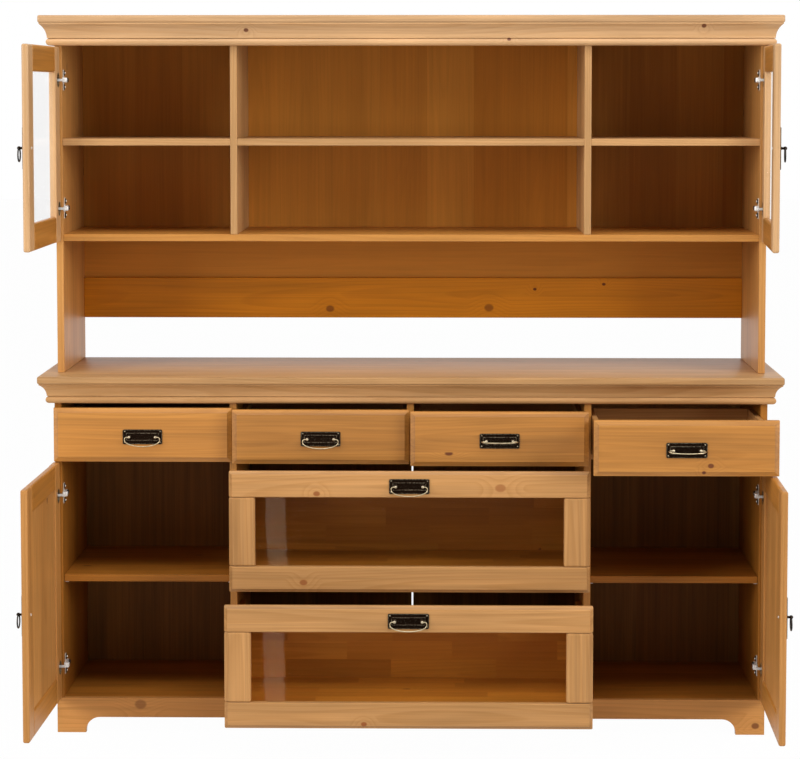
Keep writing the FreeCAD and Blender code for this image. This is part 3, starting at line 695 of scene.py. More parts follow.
@dataclass
class Carcase:
    """Sides, dividers, floors, shelves, runners and backs of the base and the hutch.

    Attributes:
        arris: radius of the boards' sanded edges in mm.
        sheet_arris: the same for the thin back sheets.
    """

    arris: float = 1.5
    sheet_arris: float = 0.4

    def build(self) -> None:
        """Builds each group of boards in the place of its CAD node."""
        self.boards("hutch_sides", Axis.Z, Finish.GOLDEN)
        self.boards("hutch_floor", Axis.X, Finish.HONEY)
        # The base's sides and bottom are toned darker: painted shade of the base's deep bays.
        self.boards("base_sides", Axis.Z, Finish.BROWN, -2.2)
        self.boards("base_bottom", Axis.X, Finish.BROWN, -1.6)
        self.storeys("dividers", Axis.Z, Finish.HONEY, 0.0)
        self.boards("drawer_runners", Axis.Y, Finish.PALE)
        # The base's shelves are toned darker as painted shade; the hutch's shelves are not.
        self.storeys("shelves", Axis.X, Finish.BROWN, -1.4)
        self.rail()
        self.backs()
        finish_node("shelf_pins", Finish.NICKEL)

    def storeys(self, node: str, along: Axis, lower: Finish, lower_tone: float) -> None:
        """The boards of a node in the base, and apart from them the pale ones of the hutch."""
        worktop = boxed("worktop")[1][2]
        boxes = boxes_of(node)
        base = [Board(low, high, along, self.arris, lower_tone) for low, high in boxes if low[2] < worktop]
        hutch = [Board(low, high, along, self.arris) for low, high in boxes if low[2] > worktop]
        make_piece(node, [board.patch() for board in base], lower)
        make_piece("hutch_" + node, [board.patch() for board in hutch], Finish.PALE_STAVES,
                   body=frame["nodes"][node]["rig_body"])

    def rail(self) -> None:
        """The knotty rail across the foot of the hutch's back."""
        knots = (Knot(197, 1011, 10.0), Knot(315, 1059, 4.0), Knot(492, 1072, 4.0), Knot(-212, 1008, 9.0))
        board = Board(*boxed("hutch_back_rail"), Axis.X, self.arris, 0.8, knots)
        make_piece("hutch_back_rail", [board.patch()], Finish.AMBER)

    def backs(self) -> None:
        """The thin sheets: two in the base, toned very dark as painted shade of its deep bays, and a hutch
        back joined behind its dividers, in four regions with tones of their own.
        """
        base_left, base_right, (low, high) = boxes_of("back_panels")
        joint = boxes_of("dividers")[-1][:, 0].mean()
        floor = boxes_of("hutch_floor")[0][:, 2].mean()
        # The base sheets' low tones are painted shade; the hutch regions' tones differ, the right bay darkest
        # and the centre lightest.
        sheets = [Board(*base_left, Axis.Z, self.sheet_arris, -3.4),
                  Board(*base_right, Axis.Z, self.sheet_arris, -3.8),
                  Board(low, (high[0], high[1], floor), Axis.X, self.sheet_arris, 5.2),
                  Board((low[0], low[1], floor), (-joint, high[1], high[2]), Axis.Z, self.sheet_arris, 4.0),
                  Board((-joint, low[1], floor), (joint, high[1], high[2]), Axis.Z, self.sheet_arris, 5.6),
                  Board((joint, low[1], floor), high, Axis.Z, self.sheet_arris, 1.1)]
        make_piece("back_panels", [sheet.patch() for sheet in sheets], Finish.BACK)

    def boards(self, node: str, along: Axis, finish: Finish, tone: float | None = None) -> None:
        """One piece with all boards of a node, each with its own tone where none is given."""
        patches = [Board(low, high, along, self.arris, tone).patch() for low, high in boxes_of(node)]
        make_piece(node, patches, finish)


def finish_node(node: str, finish: Finish) -> None:
    """Gives a CAD node that stays as it is its material."""
    thing = frame["nodes"][node]
    thing.data.materials.clear()
    thing.data.materials.append(finish.material)
    LOG.info("%s: the CAD node", node)


@dataclass
class Top:
    """A slab with eased edges on a bead and cove moulding: the worktop, or the crown.

    Attributes:
        slab: the slab's node.
        moulding: the moulding's node.
        finish: the finish of both.
        slab_tone: how much lighter or darker the slab is.
        moulding_tone: how much lighter or darker the moulding is.
        knots: the knots of the front moulding.
        painted_top_light: how much lighter the slab's upper face is than its edges, a painted light where
            light from above and the sheen fall on it.
        ease: radius of the slab's edges in mm.
        bead_height: height of the bead at the moulding's foot in mm.
        bead_reach: how far the bead stands out in mm.
        cove_reach: how far the top of the cove stands out in mm.
        cove_depth: how far the hollow goes back from there in mm.
        cove_lip: height of the flat edge above the hollow in mm.
    """

    slab: str
    moulding: str
    finish: Finish
    slab_tone: float
    moulding_tone: float
    knots: tuple[Knot, ...] = ()
    painted_top_light: float = 1.2
    ease: float = 4.0
    bead_height: float = 18.0
    bead_reach: float = 18.5
    cove_reach: float = 33.0
    cove_depth: float = 17.0
    cove_lip: float = 3.0

    def build(self) -> None:
        """Builds the slab and the three lengths of moulding below it."""
        low, high = boxed(self.slab)
        board = Board(low, high, Axis.X, self.ease, self.slab_tone).patch()
        # The upper face is toned lighter: painted light from above and its sheen.
        board.tone[board.points[:, 2] > high[2] - self.ease / 20] += self.painted_top_light
        make_piece(self.slab, [board], self.finish, Shade.ROUNDED)
        make_piece(self.moulding, self.runs(), self.finish, Shade.ROUNDED)

    def profile(self, height: float) -> Array:
        """The moulding's section: a half-round bead, a hollow that rises upright and leans out, and a lip.

        The hollow's circle touches its upright start: radius = (depth^2 + rise^2) / (2 depth).

        Args:
            height: the moulding's whole height in mm.

        Returns:
            Reach and height of each point, counted from the carcase and the foot.
        """
        nose = self.bead_height / 2
        bead = np.radians(np.linspace(-90, 90, 13))
        rise = height - self.bead_height - self.cove_lip
        radius = (self.cove_depth ** 2 + rise ** 2) / (2 * self.cove_depth)
        hollow = np.linspace(0, np.arcsin(rise / radius), 17)
        return np.vstack([
            np.array([(0, 0)]),
            np.stack([self.bead_reach - nose + nose * np.cos(bead), nose + nose * np.sin(bead)], axis=1),
            np.stack([self.cove_reach - self.cove_depth + radius * (1 - np.cos(hollow)),
                      self.bead_height + radius * np.sin(hollow)], axis=1),
            np.array([(self.cove_reach, height), (0, height)])])

    def runs(self) -> list[Patch]:
        """The front length with a mitre at each end, and two returns mitred at the front.

        Returns:
            Three closed patches, each with the grain along its length.
        """
        low, high = boxed(self.moulding)
        reach, rise = self.profile(high[2] - low[2]).T
        height = low[2] + rise
        out = high[0] - self.cove_reach + reach
        front = low[1] + self.cove_reach - reach
        back = np.full_like(reach, high[1])
        ends = np.stack([np.stack([side * out, front, height], axis=1) for side in (-1, 1)])
        patches = [grained(loft(ends), Axis.X, Axis.Z, self.moulding_tone, self.knots)]
        for side in (-1, 1):
            run = np.stack([np.stack([side * out, end, height], axis=1) for end in (back, front)])
            patches.append(grained(loft(run), Axis.Y, Axis.Z, self.moulding_tone))
        return patches


@dataclass
class Plinth:
    """The base's plinth: a front board sawn out between two bracket feet, two sides and a back.

    Attributes:
        thick: board thickness in mm.
        foot_width: width of a foot at the floor in mm.
        foot_height: height of the sawn opening in mm.
        curve: radius of the opening's corners in mm.
        tone: how much lighter or darker the front board is.
        knots: the knots of the front board.
    """

    thick: float = 17.0
    foot_width: float = 70.0
    foot_height: float = 38.0
    curve: float = 34.0
    tone: float = 1.3
    knots: tuple[Knot, ...] = (Knot(-660, 70, 12.0), Knot(842, 22, 8.0))

    def build(self) -> None:
        """Builds the four boards as one piece."""
        low, high = boxed("plinth")
        under = boxed("base_bottom")[0][2]
        side_low, side_high = low[1] + self.thick, high[1] - self.thick
        boards = [
            Board((low[0], side_low, 0), (low[0] + self.thick, side_high, under), Axis.Y),
            Board((high[0] - self.thick, side_low, 0), (high[0], side_high, under), Axis.Y),
            Board((low[0], side_high, 0), (high[0], high[1], under), Axis.X)]
        patches = [self.front(low, high)] + [board.patch() for board in boards]
        make_piece("plinth", patches, Finish.GOLDEN)

    def front(self, low: Array, high: Array) -> Patch:
        """The front board: its outline in X and Z, carried through its thickness.

        Args:
            low: the plinth's lowest corner.
            high: its highest corner.

        Returns:
            A closed patch with the grain along X.
        """
        inner = high[0] - self.foot_width
        arc = np.radians(np.linspace(0, 90, 12))
        corner = np.stack([inner - self.curve + self.curve * np.cos(arc),
                           self.foot_height - self.curve + self.curve * np.sin(arc)], axis=1)
        half = np.vstack([np.array([(high[0], high[2]), (high[0], 0), (inner, 0)]), corner])
        outline = np.vstack([half, half[::-1] * (-1, 1)])
        depths = np.array([low[1], low[1] + self.thick])
        rings = np.empty((2, len(outline), 3))
        rings[..., [0, 2]] = outline
        rings[..., 1] = depths[:, None]
        return grained(loft(rings), Axis.X, Axis.Z, self.tone, self.knots)


def full_circle(count: int) -> Array:
    """So many angles evenly round a circle, in radians."""
    return np.linspace(0, 2 * np.pi, count, endpoint=False)


def oblong(width: float, height: float, corner: float, steps: int = CORNER_STEPS) -> Array:
    """A rounded rectangle about the origin: each quarter circle moves out to its own corner.

    Args:
        width: size along the first coordinate.
        height: size along the second one.
        corner: radius of the corners.
        steps: points in each quarter.

    Returns:
        Both coordinates of each point.
    """
    angle = (np.radians(np.linspace(0, 90, steps)) + np.radians((0, 90, 180, 270))[:, None]).ravel()
    side = np.repeat(np.array([(1, 1), (-1, 1), (-1, -1), (1, -1)]), steps, axis=0)
    round_part = corner * np.stack([np.cos(angle), np.sin(angle)], axis=1)
    return side * (np.array((width, height)) / 2 - corner) + round_part


def stacked(middle: Array, width: float, height: float, corner: float, steps: Array) -> Patch:
    """A plate built up towards the front from rounded rectangles.

    Args:
        middle: middle of its back.
        width: its size along X.
        height: its size along Z.
        corner: radius of its corners.
        steps: for each ring, how far it is from the back and how far inside the edge.

    Returns:
        A closed patch.
    """
    rings = np.empty((len(steps), 4 * CORNER_STEPS, 3))
    for ring, (forward, inset) in zip(rings, steps):
        ring[:, [0, 2]] = oblong(width - 2 * inset, height - 2 * inset, max(corner - inset, 0.3))
        ring[:, 1] = -forward
    return loft(rings + middle)


def turning(middle: Array, axis: Axis, profile: Array, around: int = 20) -> Patch:
    """A turned shape: each row of the profile is a circle.

    Args:
        middle: the place from which lengths count.
        axis: the direction of the turning axis.
        profile: length along the axis and radius, for each circle.
        around: points in a circle.

    Returns:
        A closed patch.
    """
    angle = full_circle(around)
    rings = np.empty((len(profile), around, 3))
    rings[..., axis.value] = profile[:, :1]
    rings[..., (axis.value + 1) % 3] = profile[:, 1:] * np.cos(angle)
    rings[..., (axis.value + 2) % 3] = profile[:, 1:] * np.sin(angle)
    return loft(rings + middle)


def wire(path: Array, radius: float, looped: bool, around: int = 12) -> Patch:
    """A round wire along a path in the X and Z plane: each circle stands square to the path.

    Args:
        path: places along its middle line.
        radius: of the wire.
        looped: whether its end meets its start.
        around: points in a circle.

    Returns:
        A closed patch.
    """
    if looped:
        heading = np.roll(path, -1, axis=0) - np.roll(path, 1, axis=0)
    else:
        heading = np.gradient(path, axis=0)
    heading = heading / np.linalg.norm(heading, axis=1, keepdims=True)
    sideways = np.stack([-heading[:, 2], np.zeros(len(path)), heading[:, 0]], axis=1)
    angle = full_circle(around)[:, None]
    rings = path[:, None] + radius * (np.cos(angle) * sideways[:, None] + np.sin(angle) * np.array((0, 1, 0)))
    return loft(rings, looped)


def drawer_box(name: str, finish: Finish, tones: tuple[float, float] = (0.0, 0.0),
               rear_drop: float = 0.0, side: float = 12.0, base: float = 6.0, base_rise: float = 8.0,
               base_arris: float = 0.4) -> None:
    """The open box behind a drawer front: two sides, a rear and a base let in between them.

    Args:
        name: the drawer's name.
        finish: its finish.
        tones: how much lighter or darker its walls and its base are.
        rear_drop: how much lower the rear is than the sides in mm.
        side: thickness of the sides and rear in mm.
        base: thickness of the base in mm.
        base_rise: height of the base above the sides' lower edges in mm.
        base_arris: radius of the base's edges in mm.
    """
    node = name + "_box"
    low, high = boxed(node)
    inner_low, inner_high, rear = low[0] + side, high[0] - side, high[1] - side
    floor = low[2] + base_rise
    boards = [
        Board(low, (inner_low, high[1], high[2]), Axis.Y, tone=tones[0]),
        Board((inner_high, low[1], low[2]), high, Axis.Y, tone=tones[0]),
        Board((inner_low, rear, low[2]), (inner_high, high[1], high[2] - rear_drop), Axis.X, tone=tones[0]),
        Board((inner_low, low[1], floor), (inner_high, rear, floor + base), Axis.X, base_arris, tones[1])]
    make_piece(node, [board.patch() for board in boards], finish)


@dataclass
class Drawer:
    """A plain drawer: a front with a bevel round its raised field, its box and its pull.

    Attributes:
        name: the drawer's name.
        tone: how much lighter or darker its front is.
        knots: the knots of its front.
        bevel_width: how wide the bevel looks from the front in mm.
        bevel_depth: how far it falls back in mm.
        ease: size of the small chamfer on the other edges in mm.
        corner: radius of the front's corners in mm.
        line: tone of a painted shade line along the bevel's inner edge.
    """

    name: str
    tone: float
    knots: tuple[Knot, ...] = ()
    bevel_width: float = 10.5
    bevel_depth: float = 5.0
    ease: float = 0.8
    corner: float = 1.0
    line: float = -2.6

    def build(self) -> None:
        """Builds the front, the box and the pull."""
        node = self.name + "_front"
        low, high = boxed(node)
        thick = high[1] - low[1]
        middle = rear_middle(low, high)
        steps = np.array([
            (0, self.ease), (self.ease, 0), (thick - self.bevel_depth - self.ease, 0),
            (thick - self.bevel_depth, self.ease / 2), (thick - self.ease, self.bevel_width - self.ease),
            (thick - self.ease / 2, self.bevel_width), (thick, self.bevel_width + self.ease)])
        front = stacked(middle, high[0] - low[0], high[2] - low[2], self.corner, steps)
        wood = grained(front, Axis.X, Axis.Z, self.tone, self.knots)
        # The bevel is toned darker towards the field and darkest where it meets it: painted shade in the
        # crease.
        wood.tone += np.repeat((0, 0, 0, 0, -1, self.line, 0), len(wood.points) // len(steps))
        make_piece(node, [wood], Finish.HONEY)
        drawer_box(self.name, Finish.PALE)
        BailPull(self.name).build()


@dataclass
class GlassDrawer:
    """A deep drawer whose front is a frame of rails and stiles round a pane.

    Attributes:
        name: the drawer's name.
        knots: the knots of its two rails.
        tones: how much lighter or darker the walls and the base of its box are.
        bar: width of the rails and stiles in mm.
        arris: radius of the rails' edges in mm.
        stile_arris: radius of the stiles' edges in mm.
        bevel_width: how wide the bevel round the whole front looks in mm.
        bevel_depth: how far it falls back in mm.
        line: tone of a painted shade line along the bevel's inner edge.
        rear_drop: how much lower the rear of the box is than its sides in mm.
    """

    name: str
    knots: tuple[Knot, ...]
    tones: tuple[float, float]
    bar: float = 62.0
    arris: float = 3.0
    stile_arris: float = 5.0
    bevel_width: float = 6.0
    bevel_depth: float = 6.5
    line: float = -0.9
    rear_drop: float = 16.0

    def build(self) -> None:
        """Builds the frame, the pane, the box and the pull."""
        node = self.name + "_front"
        low, high = boxed(node)
        within_low, within_high = low + (self.bar, 0, self.bar), high - (self.bar, 0, self.bar)
        boards = [
            Board(low, (high[0], high[1], within_low[2]), Axis.X, self.arris, None, self.knots),
            Board((low[0], low[1], within_high[2]), high, Axis.X, self.arris, None, self.knots),
            Board((low[0], low[1], within_low[2]), (within_low[0], high[1], within_high[2]), Axis.Z,
                  self.stile_arris),
            Board((within_high[0], low[1], within_low[2]), (high[0], high[1], within_high[2]), Axis.Z,
                  self.stile_arris)]
        bars = [self.bevelled(board.patch(), board.arris, low, high) for board in boards]
        make_piece(node, bars, Finish.PALE)
        pane = self.name + "_glass"
        sheet = Board(*boxed(pane), Axis.X, PANE_ARRIS)
        make_piece(pane, [sheet.patch()], Finish.GLASS)
        drawer_box(self.name, Finish.INNER, self.tones, self.rear_drop)
        BailPull(self.name).build()

    def bevelled(self, bar: Patch, arris: float, low: Array, high: Array) -> Patch:
        """Bevels a rail or stile where it meets the outline of the front.

        The rounded rows of its face move inwards by the bevel's width, and the row behind them goes back
        by its depth, so that two bevels meet in a mitre.

        Args:
            bar: the rail or stile.
            arris: radius of its edges in mm.
            low: lowest corner of the whole front.
            high: highest corner of the whole front.

        Returns:
            The same patch with its points moved.
        """
        behind = bar.points[:, 1] - low[1]
        face = behind < 0.75 * arris
        rim = ~face & (behind < 1.5 * arris)
        edge = face & (behind > 0.3 * arris)
        for axis in (Axis.X.value, Axis.Z.value):
            for bound, inwards in ((low[axis], 1), (high[axis], -1)):
                outer = np.abs(bar.points[:, axis] - bound) < 1.1 * arris
                bar.points[face & outer, axis] += inwards * self.bevel_width
                bar.points[rim & outer, 1] = low[1] + self.bevel_depth
                # The bevel's inner edge rows are toned darker: painted shade in the crease.
                bar.tone[edge & outer] += self.line
        return bar


def pull_plate(middle: Array, width: float, height: float, corner: float = 4.0) -> list[Patch]:
    """A cast plate with a rubbed border, a dark ground and a raised field, and a screw in each corner.

    Args:
        middle: middle of its back.
        width: its size along X in mm.
        height: its size along Z in mm.
        corner: radius of its corners in mm.

    Returns:
        The plate and its four screw heads.
    """
    # Height over the back and distance from the edge: the border, the ground and the raised field.
    steps = np.array([(0, 0), (1.5, 0), (2.3, 0.5), (2.5, 1.3), (2.3, 2.2), (1.0, 3.0), (1.0, 7.4),
                      (1.9, 8.0), (2.2, 8.8), (2.2, 9.8), (1.9, 10.6), (1.2, 11.4)])
    plate = stacked(middle, width, height, corner, steps)
    rubbed = np.array((0, 0, 0.3, 0.3, 0.1, 0, 0, 0, 0.27, 0.27, 0, 0))
    plate.tone = np.repeat(rubbed, len(plate.points) // len(steps))
    dome = np.array([(0, 1.7), (1.6, 1.7), (2.1, 1.2), (2.4, 0.4)]) * (-1, 1)
    reach = np.array((width, height)) / 2 - 5.0
    screws = [turning(middle + (reach[0] * side, 0, reach[1] * rise), Axis.Y, dome, 12)
              for side in (-1, 1) for rise in (-1, 1)]
    return [plate] + [polished(screw, 0.65) for screw in screws]


def polished(patch: Patch, tone: float) -> Patch:
    """The patch with its metal rubbed bright by so much."""
    patch.tone[:] = tone
    return patch


@dataclass
class BailPull:
    """A drawer pull: a plate, two posts and a swinging wire bail.

    Attributes:
        drawer: the drawer's name.
        post_spacing: distance of the posts in mm.
        post_radius: radius of a post in mm.
        standoff: distance of the bail's axis from the plate's face in mm.
        plate_thick: thickness of the plate in mm.
        wire_radius: of the bail in mm.
        leg: half the distance of the bail's legs in mm.
        drop: height of the bail in mm.
        shoulder: radius of the bend at a post in mm.
        bow_start: how far below its axis the grip's bow starts in mm.
        below_hanging: how far past hanging the bail's joint goes in degrees.
    """

    drawer: str
    post_spacing: float = 64.0
    post_radius: float = 3.5
    standoff: float = 8.0
    plate_thick: float = 2.5
    wire_radius: float = 1.25
    leg: float = 42.8
    drop: float = 22.4
    shoulder: float = 5.5
    bow_start: float = 7.0
    below_hanging: float = 10.0

    def build(self) -> None:
        """Builds the plate with its posts, and the bail at its resting angle."""
        node = self.drawer + "_pull_plate"
        low, high = boxed(node)
        middle = rear_middle(low, high)
        patches = pull_plate(middle, high[0] - low[0], high[2] - low[2])
        head = self.plate_thick + self.standoff
        # Length from the plate's back and radius: a collar, a neck and a turned head.
        profile = np.array([(0.8, 5.2), (2.6, 5.2), (3.4, 4.2), (4.5, 3.0), (head - 4.6, 3.0),
                            (head - 3.4, 3.2), (head - 1.5, self.post_radius),
                            (head + 1.8, self.post_radius), (head + 3.0, 2.8), (head + 3.8, 1.4)])
        for side in (-1, 1):
            post = turning(middle + (side * self.post_spacing / 2, 0, 0), Axis.Y, profile * (-1, 1))
            rubbed = np.where(profile[:, 0] > head - 2, 0.95, 0.0)
            post.tone = np.repeat(rubbed, len(post.points) // len(profile))
            patches.append(post)
        make_piece(node, patches, Finish.BRONZE, Shade.ROUNDED)
        joint = joint_of(self.drawer + "_bail")
        pivot = np.array(joint["pos_m"]) / MM
        swung = -joint["range_deg"][0] - self.below_hanging
        bail = wire(self.path() + pivot, self.wire_radius, False).turned(pivot, rotation(Axis.X, -swung))
        make_piece(self.drawer + "_bail", [bail], Finish.BRASS, Shade.ROUNDED)

    def path(self) -> Array:
        """The hanging bail's middle line: along the axis, round a shoulder, then a bow of half an ellipse.

        Returns:
            Places from the middle of the axis, in the X and Z plane.
        """
        quarter = np.radians(np.linspace(0, 90, 7))
        end = np.array([(-self.post_spacing / 2 + self.post_radius, 0.0)])
        shoulder = np.stack([self.shoulder - self.leg - self.shoulder * np.sin(quarter),
                             self.shoulder * np.cos(quarter) - self.shoulder], axis=1)
        bow = np.radians(np.linspace(0, 85, 14))
        grip = np.stack([-self.leg * np.cos(bow), -self.bow_start
                         - (self.drop - self.bow_start) * np.sin(bow)], axis=1)
        half = np.vstack([end, shoulder, grip])
        whole = np.vstack([half, half[::-1] * (-1, 1)])
        return np.stack([whole[:, 0], np.zeros(len(whole)), whole[:, 1]], axis=1)


@dataclass
class Door:
    """A framed door on cup hinges, glazed or with a panel, and its ring pull.

    It is worked out shut and then turned with its joint, to stand open as the CAD door does.

    Attributes:
        name: the door's name.
        glazed: whether it holds a pane in place of a panel.
        width: of the door in mm.
        thick: of its frame in mm.
        bar: width of the rails and stiles in mm.
        tongue: how far the panel or pane goes into the frame in mm.
        panel: thickness of the panel in mm.
        pane: thickness of the pane in mm.
        edge: distance of the hinge line from the door's edge and its back in mm.
        arris: radius of the frame's edges in mm.
        hinge_arris: radius of the hinge stile's edges in mm, small enough to leave the bores' rims flat.
        cup_radius: radius of the hinge bores in mm.
        cup_depth: their depth in mm.
        cup_place: distance of their middle from the door's edge in mm.
        cup_inset: distance of their middle from the door's ends in mm.
    """

    name: str
    glazed: bool
    width: float = 432.5
    thick: float = 16.0
    bar: float = 62.0
    tongue: float = 7.8
    panel: float = 8.0
    pane: float = 4.0
    edge: float = 6.0
    arris: float = 4.5
    hinge_arris: float = 2.5
    cup_radius: float = 17.6
    cup_depth: float = 11.5
    cup_place: float = 20.0
    cup_inset: float = 80.0

    def __post_init__(self) -> None:
        """Reads the hinge line, the opening angle and the heights from the frame."""
        joint = joint_of(self.name)
        self.pivot = np.array(joint["pos_m"]) / MM
        self.side = -joint["axis"][2]
        self.turn = rotation(Axis.Z, -joint["range_deg"][0] * joint["axis"][2])
        low, high = boxed(self.name + "_frame")
        self.bottom, self.top = low[2], high[2]
        self.back = self.pivot[1] + self.edge

    def build(self) -> None:
        """Builds the frame, what it holds, the hinge cups and the pull."""
        inner = self.width - self.bar
        low, high = self.bottom + self.bar, self.top - self.bar
        hinge_stile = self.bored(self.plank(0, self.bar, self.bottom, self.top, Axis.Z, self.hinge_arris))
        stiles = [hinge_stile, self.plank(inner, self.width, self.bottom, self.top, Axis.Z, self.arris)]
        rails = [self.plank(self.bar, inner, self.bottom, low, Axis.X, self.arris),
                 self.plank(self.bar, inner, high, self.top, Axis.X, self.arris)]
        fill = self.fill()
        if self.glazed:
            make_piece(self.name + "_glass", self.swung([fill]), Finish.GLASS)
        else:
            make_piece(self.name + "_panel", self.swung([fill]), Finish.GOLDEN, body=self.name)
        stile_finish = Finish.BLOND if self.glazed else Finish.GOLDEN
        make_piece(self.name + "_frame", self.swung(stiles), stile_finish)
        make_piece(self.name + "_rails", self.swung(rails), Finish.HONEY, body=self.name)
        finish_node(self.name + "_hinge_cups", Finish.CUP_STEEL)
        self.pull()

    def place(self, along: float) -> float:
        """X of a point so many millimetres from the hinge edge."""
        return self.pivot[0] + self.side * (along - self.edge)

    def plank(self, start: float, end: float, low: float, high: float, along: Axis, arris: float) -> Patch:
        """A rail or stile from start to end, counted from the hinge edge, of the frame's thickness."""
        near, far = sorted((self.place(start), self.place(end)))
        return Board((near, self.back - self.thick, low), (far, self.back, high), along, arris).patch()

    def fill(self) -> Patch:
        """The pane or the panel, with its edges in the frame's grooves."""
        start, end = self.bar - self.tongue, self.width - self.bar + self.tongue
        near, far = sorted((self.place(start), self.place(end)))
        thick = self.pane if self.glazed else self.panel
        front = self.back - (self.thick + thick) / 2
        low, high = self.bottom + start, self.top - start
        return Board((near, front, low), (far, front + thick, high), Axis.Z, PANE_ARRIS).patch()

    def bored(self, stile: Patch) -> Patch:
        """Sinks the two hinge bores into the back of a stile.

        The back face is cut into triangles round two circles, and each circle goes down to a flat floor.

        Args:
            stile: the hinge stile's surface; its second cap is its back.

        Returns:
            The bored stile with new wood coordinates.
        """
        angle = full_circle(32)
        rim = stile.caps[1]
        back = stile.points[rim[0], 1]
        circles = [np.stack([self.place(self.cup_place) + self.cup_radius * np.cos(angle),
                             np.full_like(angle, back), height + self.cup_radius * np.sin(angle)], axis=1)
                   for height in (self.bottom + self.cup_inset, self.top - self.cup_inset)]
        loops = [stile.points[rim].tolist()] + [circle.tolist() for circle in circles]
        first = len(stile.points)
        numbers = np.concatenate([rim, first + np.arange(len(angle) * 4).reshape(2, 2, -1)[:, 0].ravel()])
        triangles = [numbers[list(corners)] for corners in tessellate_polygon(loops)]
        points, quads, caps = [stile.points], [stile.quads], [stile.caps[0]] + triangles
        for number, circle in enumerate(circles):
            bore = loft(np.stack([circle, circle - (0, self.cup_depth, 0)]))
            start = first + number * len(bore.points)
            points.append(bore.points)
            quads.append(bore.quads + start)
            caps.append(bore.caps[1] + start)
        return grained(Patch.bare(np.vstack(points), np.vstack(quads), caps), Axis.Z, Axis.X)

    def swung(self, patches: list[Patch]) -> list[Patch]:
        """The patches turned from the shut door to the standing one."""
        return [patch.turned(self.pivot, self.turn) for patch in patches]

    def pull(self, plate_width: float = 36.0, plate_height: float = 96.0, plate_thick: float = 2.5,
             standoff: float = 10.0, ring: float = 15.25, wire_radius: float = 1.75) -> None:
        """The upright plate with its eye, the ring that hangs in it, and the screw inside the door.

        Args:
            plate_width: of the plate in mm.
            plate_height: of the plate in mm.
            plate_thick: of the plate in mm.
            standoff: distance of the ring from the plate's face in mm.
            ring: radius of the ring's middle line in mm.
            wire_radius: of the ring in mm.
        """
        middle = np.array([self.place(self.width - self.bar / 2), self.back - self.thick,
                           (self.bottom + self.top) / 2])
        head = plate_thick + standoff
        # Length from the plate's back and radius: a collar, a neck and the eye's round head.
        profile = np.array([(0.8, 5.4), (2.8, 5.4), (3.6, 4.2), (4.8, 3.0), (head - 4.0, 2.8),
                            (head - 2.8, 3.6), (head - 1.0, 4.3), (head + 1.4, 4.3), (head + 3.0, 3.4),
                            (head + 4.4, 1.4)])
        eye = turning(middle, Axis.Y, profile * (-1, 1))
        plate = pull_plate(middle, plate_width, plate_height) + [eye]
        make_piece(self.name + "_pull_plate", self.swung(plate), Finish.BRONZE, Shade.ROUNDED)
        angle = full_circle(48)
        circle = ring * np.stack([np.sin(angle), np.zeros_like(angle), np.cos(angle) - 1], axis=1)
        loop = wire(circle + middle - (0, head, 0), wire_radius, True)
        make_piece(self.name + "_ring", self.swung([loop]), Finish.BLACK, Shade.ROUNDED)
        dome = np.array([(-0.5, 3.4), (0.6, 3.4), (1.4, 2.4), (1.8, 0.8)])
        screw = turning(middle + (0, self.thick, 0), Axis.Y, dome)
        make_piece(self.name + "_pull_screw", self.swung([screw]), Finish.NICKEL,
                   Shade.ROUNDED, body=self.name)


@dataclass
class Hinges:
    """The carcase half of the cup hinges: the CAD arms, and on each a crank in front and its screws.

    Attributes:
        doors: the doors that hang on them.
        foot: distance of the plates' faces from the hinge line in mm.
        standoff: gap between a shut door and the carcase in mm.
        crank: width and height of the crank's front in mm.
        crank_depth: how far the crank goes in, in mm.
        arm: height of the arms over the plates in mm.
        tail: distance of the rear screw from the carcase's front in mm.
        upright: distance of the plates' middles from it in mm.
        spread: distance of the plates' screws from the arm's middle in mm.
        collar: radius and height of the dark collar round a plate's screw in mm, a painted shade round the
            screw.
        plate_screw: radius and height of that screw in mm.
        tail_screw: radius and height of the dark rear screw in mm.
    """

    doors: list[Door]
    foot: float = 13.2
    standoff: float = 3.0
    crank: tuple[float, float] = (9.5, 12.0)
    crank_depth: float = 14.0
    arm: float = 4.0
    tail: float = 42.0
    upright: float = 25.0
    spread: float = 17.0
    collar: tuple[float, float] = (6.8, 1.6)
    plate_screw: tuple[float, float] = (2.6, 3.0)
    tail_screw: tuple[float, float] = (5.5, 4.0)

    def build(self) -> None:
        """Finishes the arms and adds the cranks with the bright screws, the dark rear screws, and dark
        collars as painted shade round the plates' screws.
        """
        finish_node("hinge_arms", Finish.NICKEL)
        body = frame["nodes"]["hinge_arms"]["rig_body"]
        bright, dark = [], []
        for door in self.doors:
            for height in (door.bottom + door.cup_inset, door.top - door.cup_inset):
                edge = np.array([door.pivot[0] + door.side * self.foot, door.back + self.standoff, height])
                bright.append(self.front(edge, door.side))
                for rise in (-self.spread, self.spread):
                    middle = edge + (0, self.upright, rise)
                    # A dark collar under each plate screw: painted shade round the screw.
                    dark.append(self.screw(middle, door.side, *self.collar))
                    bright.append(self.screw(middle, door.side, *self.plate_screw))
                tail = edge + (door.side * self.arm, self.tail, 0)
                dark.append(self.screw(tail, door.side, *self.tail_screw))
        make_piece("hinge_cranks", bright, Finish.NICKEL, Shade.ROUNDED, body=body)
        make_piece("hinge_screws", dark, Finish.BLACK, Shade.ROUNDED, body=body)

    def front(self, edge: Array, side: float) -> Patch:
        """A crank that stands out from the plate, with a rounded front."""
        width, height = self.crank
        steps = np.array([(0, 0), (self.crank_depth - 2.5, 0), (self.crank_depth - 1.2, 0.4),
                          (self.crank_depth - 0.4, 1.2), (self.crank_depth, 2.4)])
        return stacked(edge + (side * width / 2, self.crank_depth + 1.0, 0), width, height, 2.5, steps)

    def screw(self, middle: Array, side: float, radius: float, height: float) -> Patch:
        """A screw head that looks inwards, with an eased rim."""
        profile = np.array([(-0.2, radius), (height * 0.6, radius), (height, radius * 0.75)])
        return turning(middle, Axis.X, profile * (side, 1), 16)


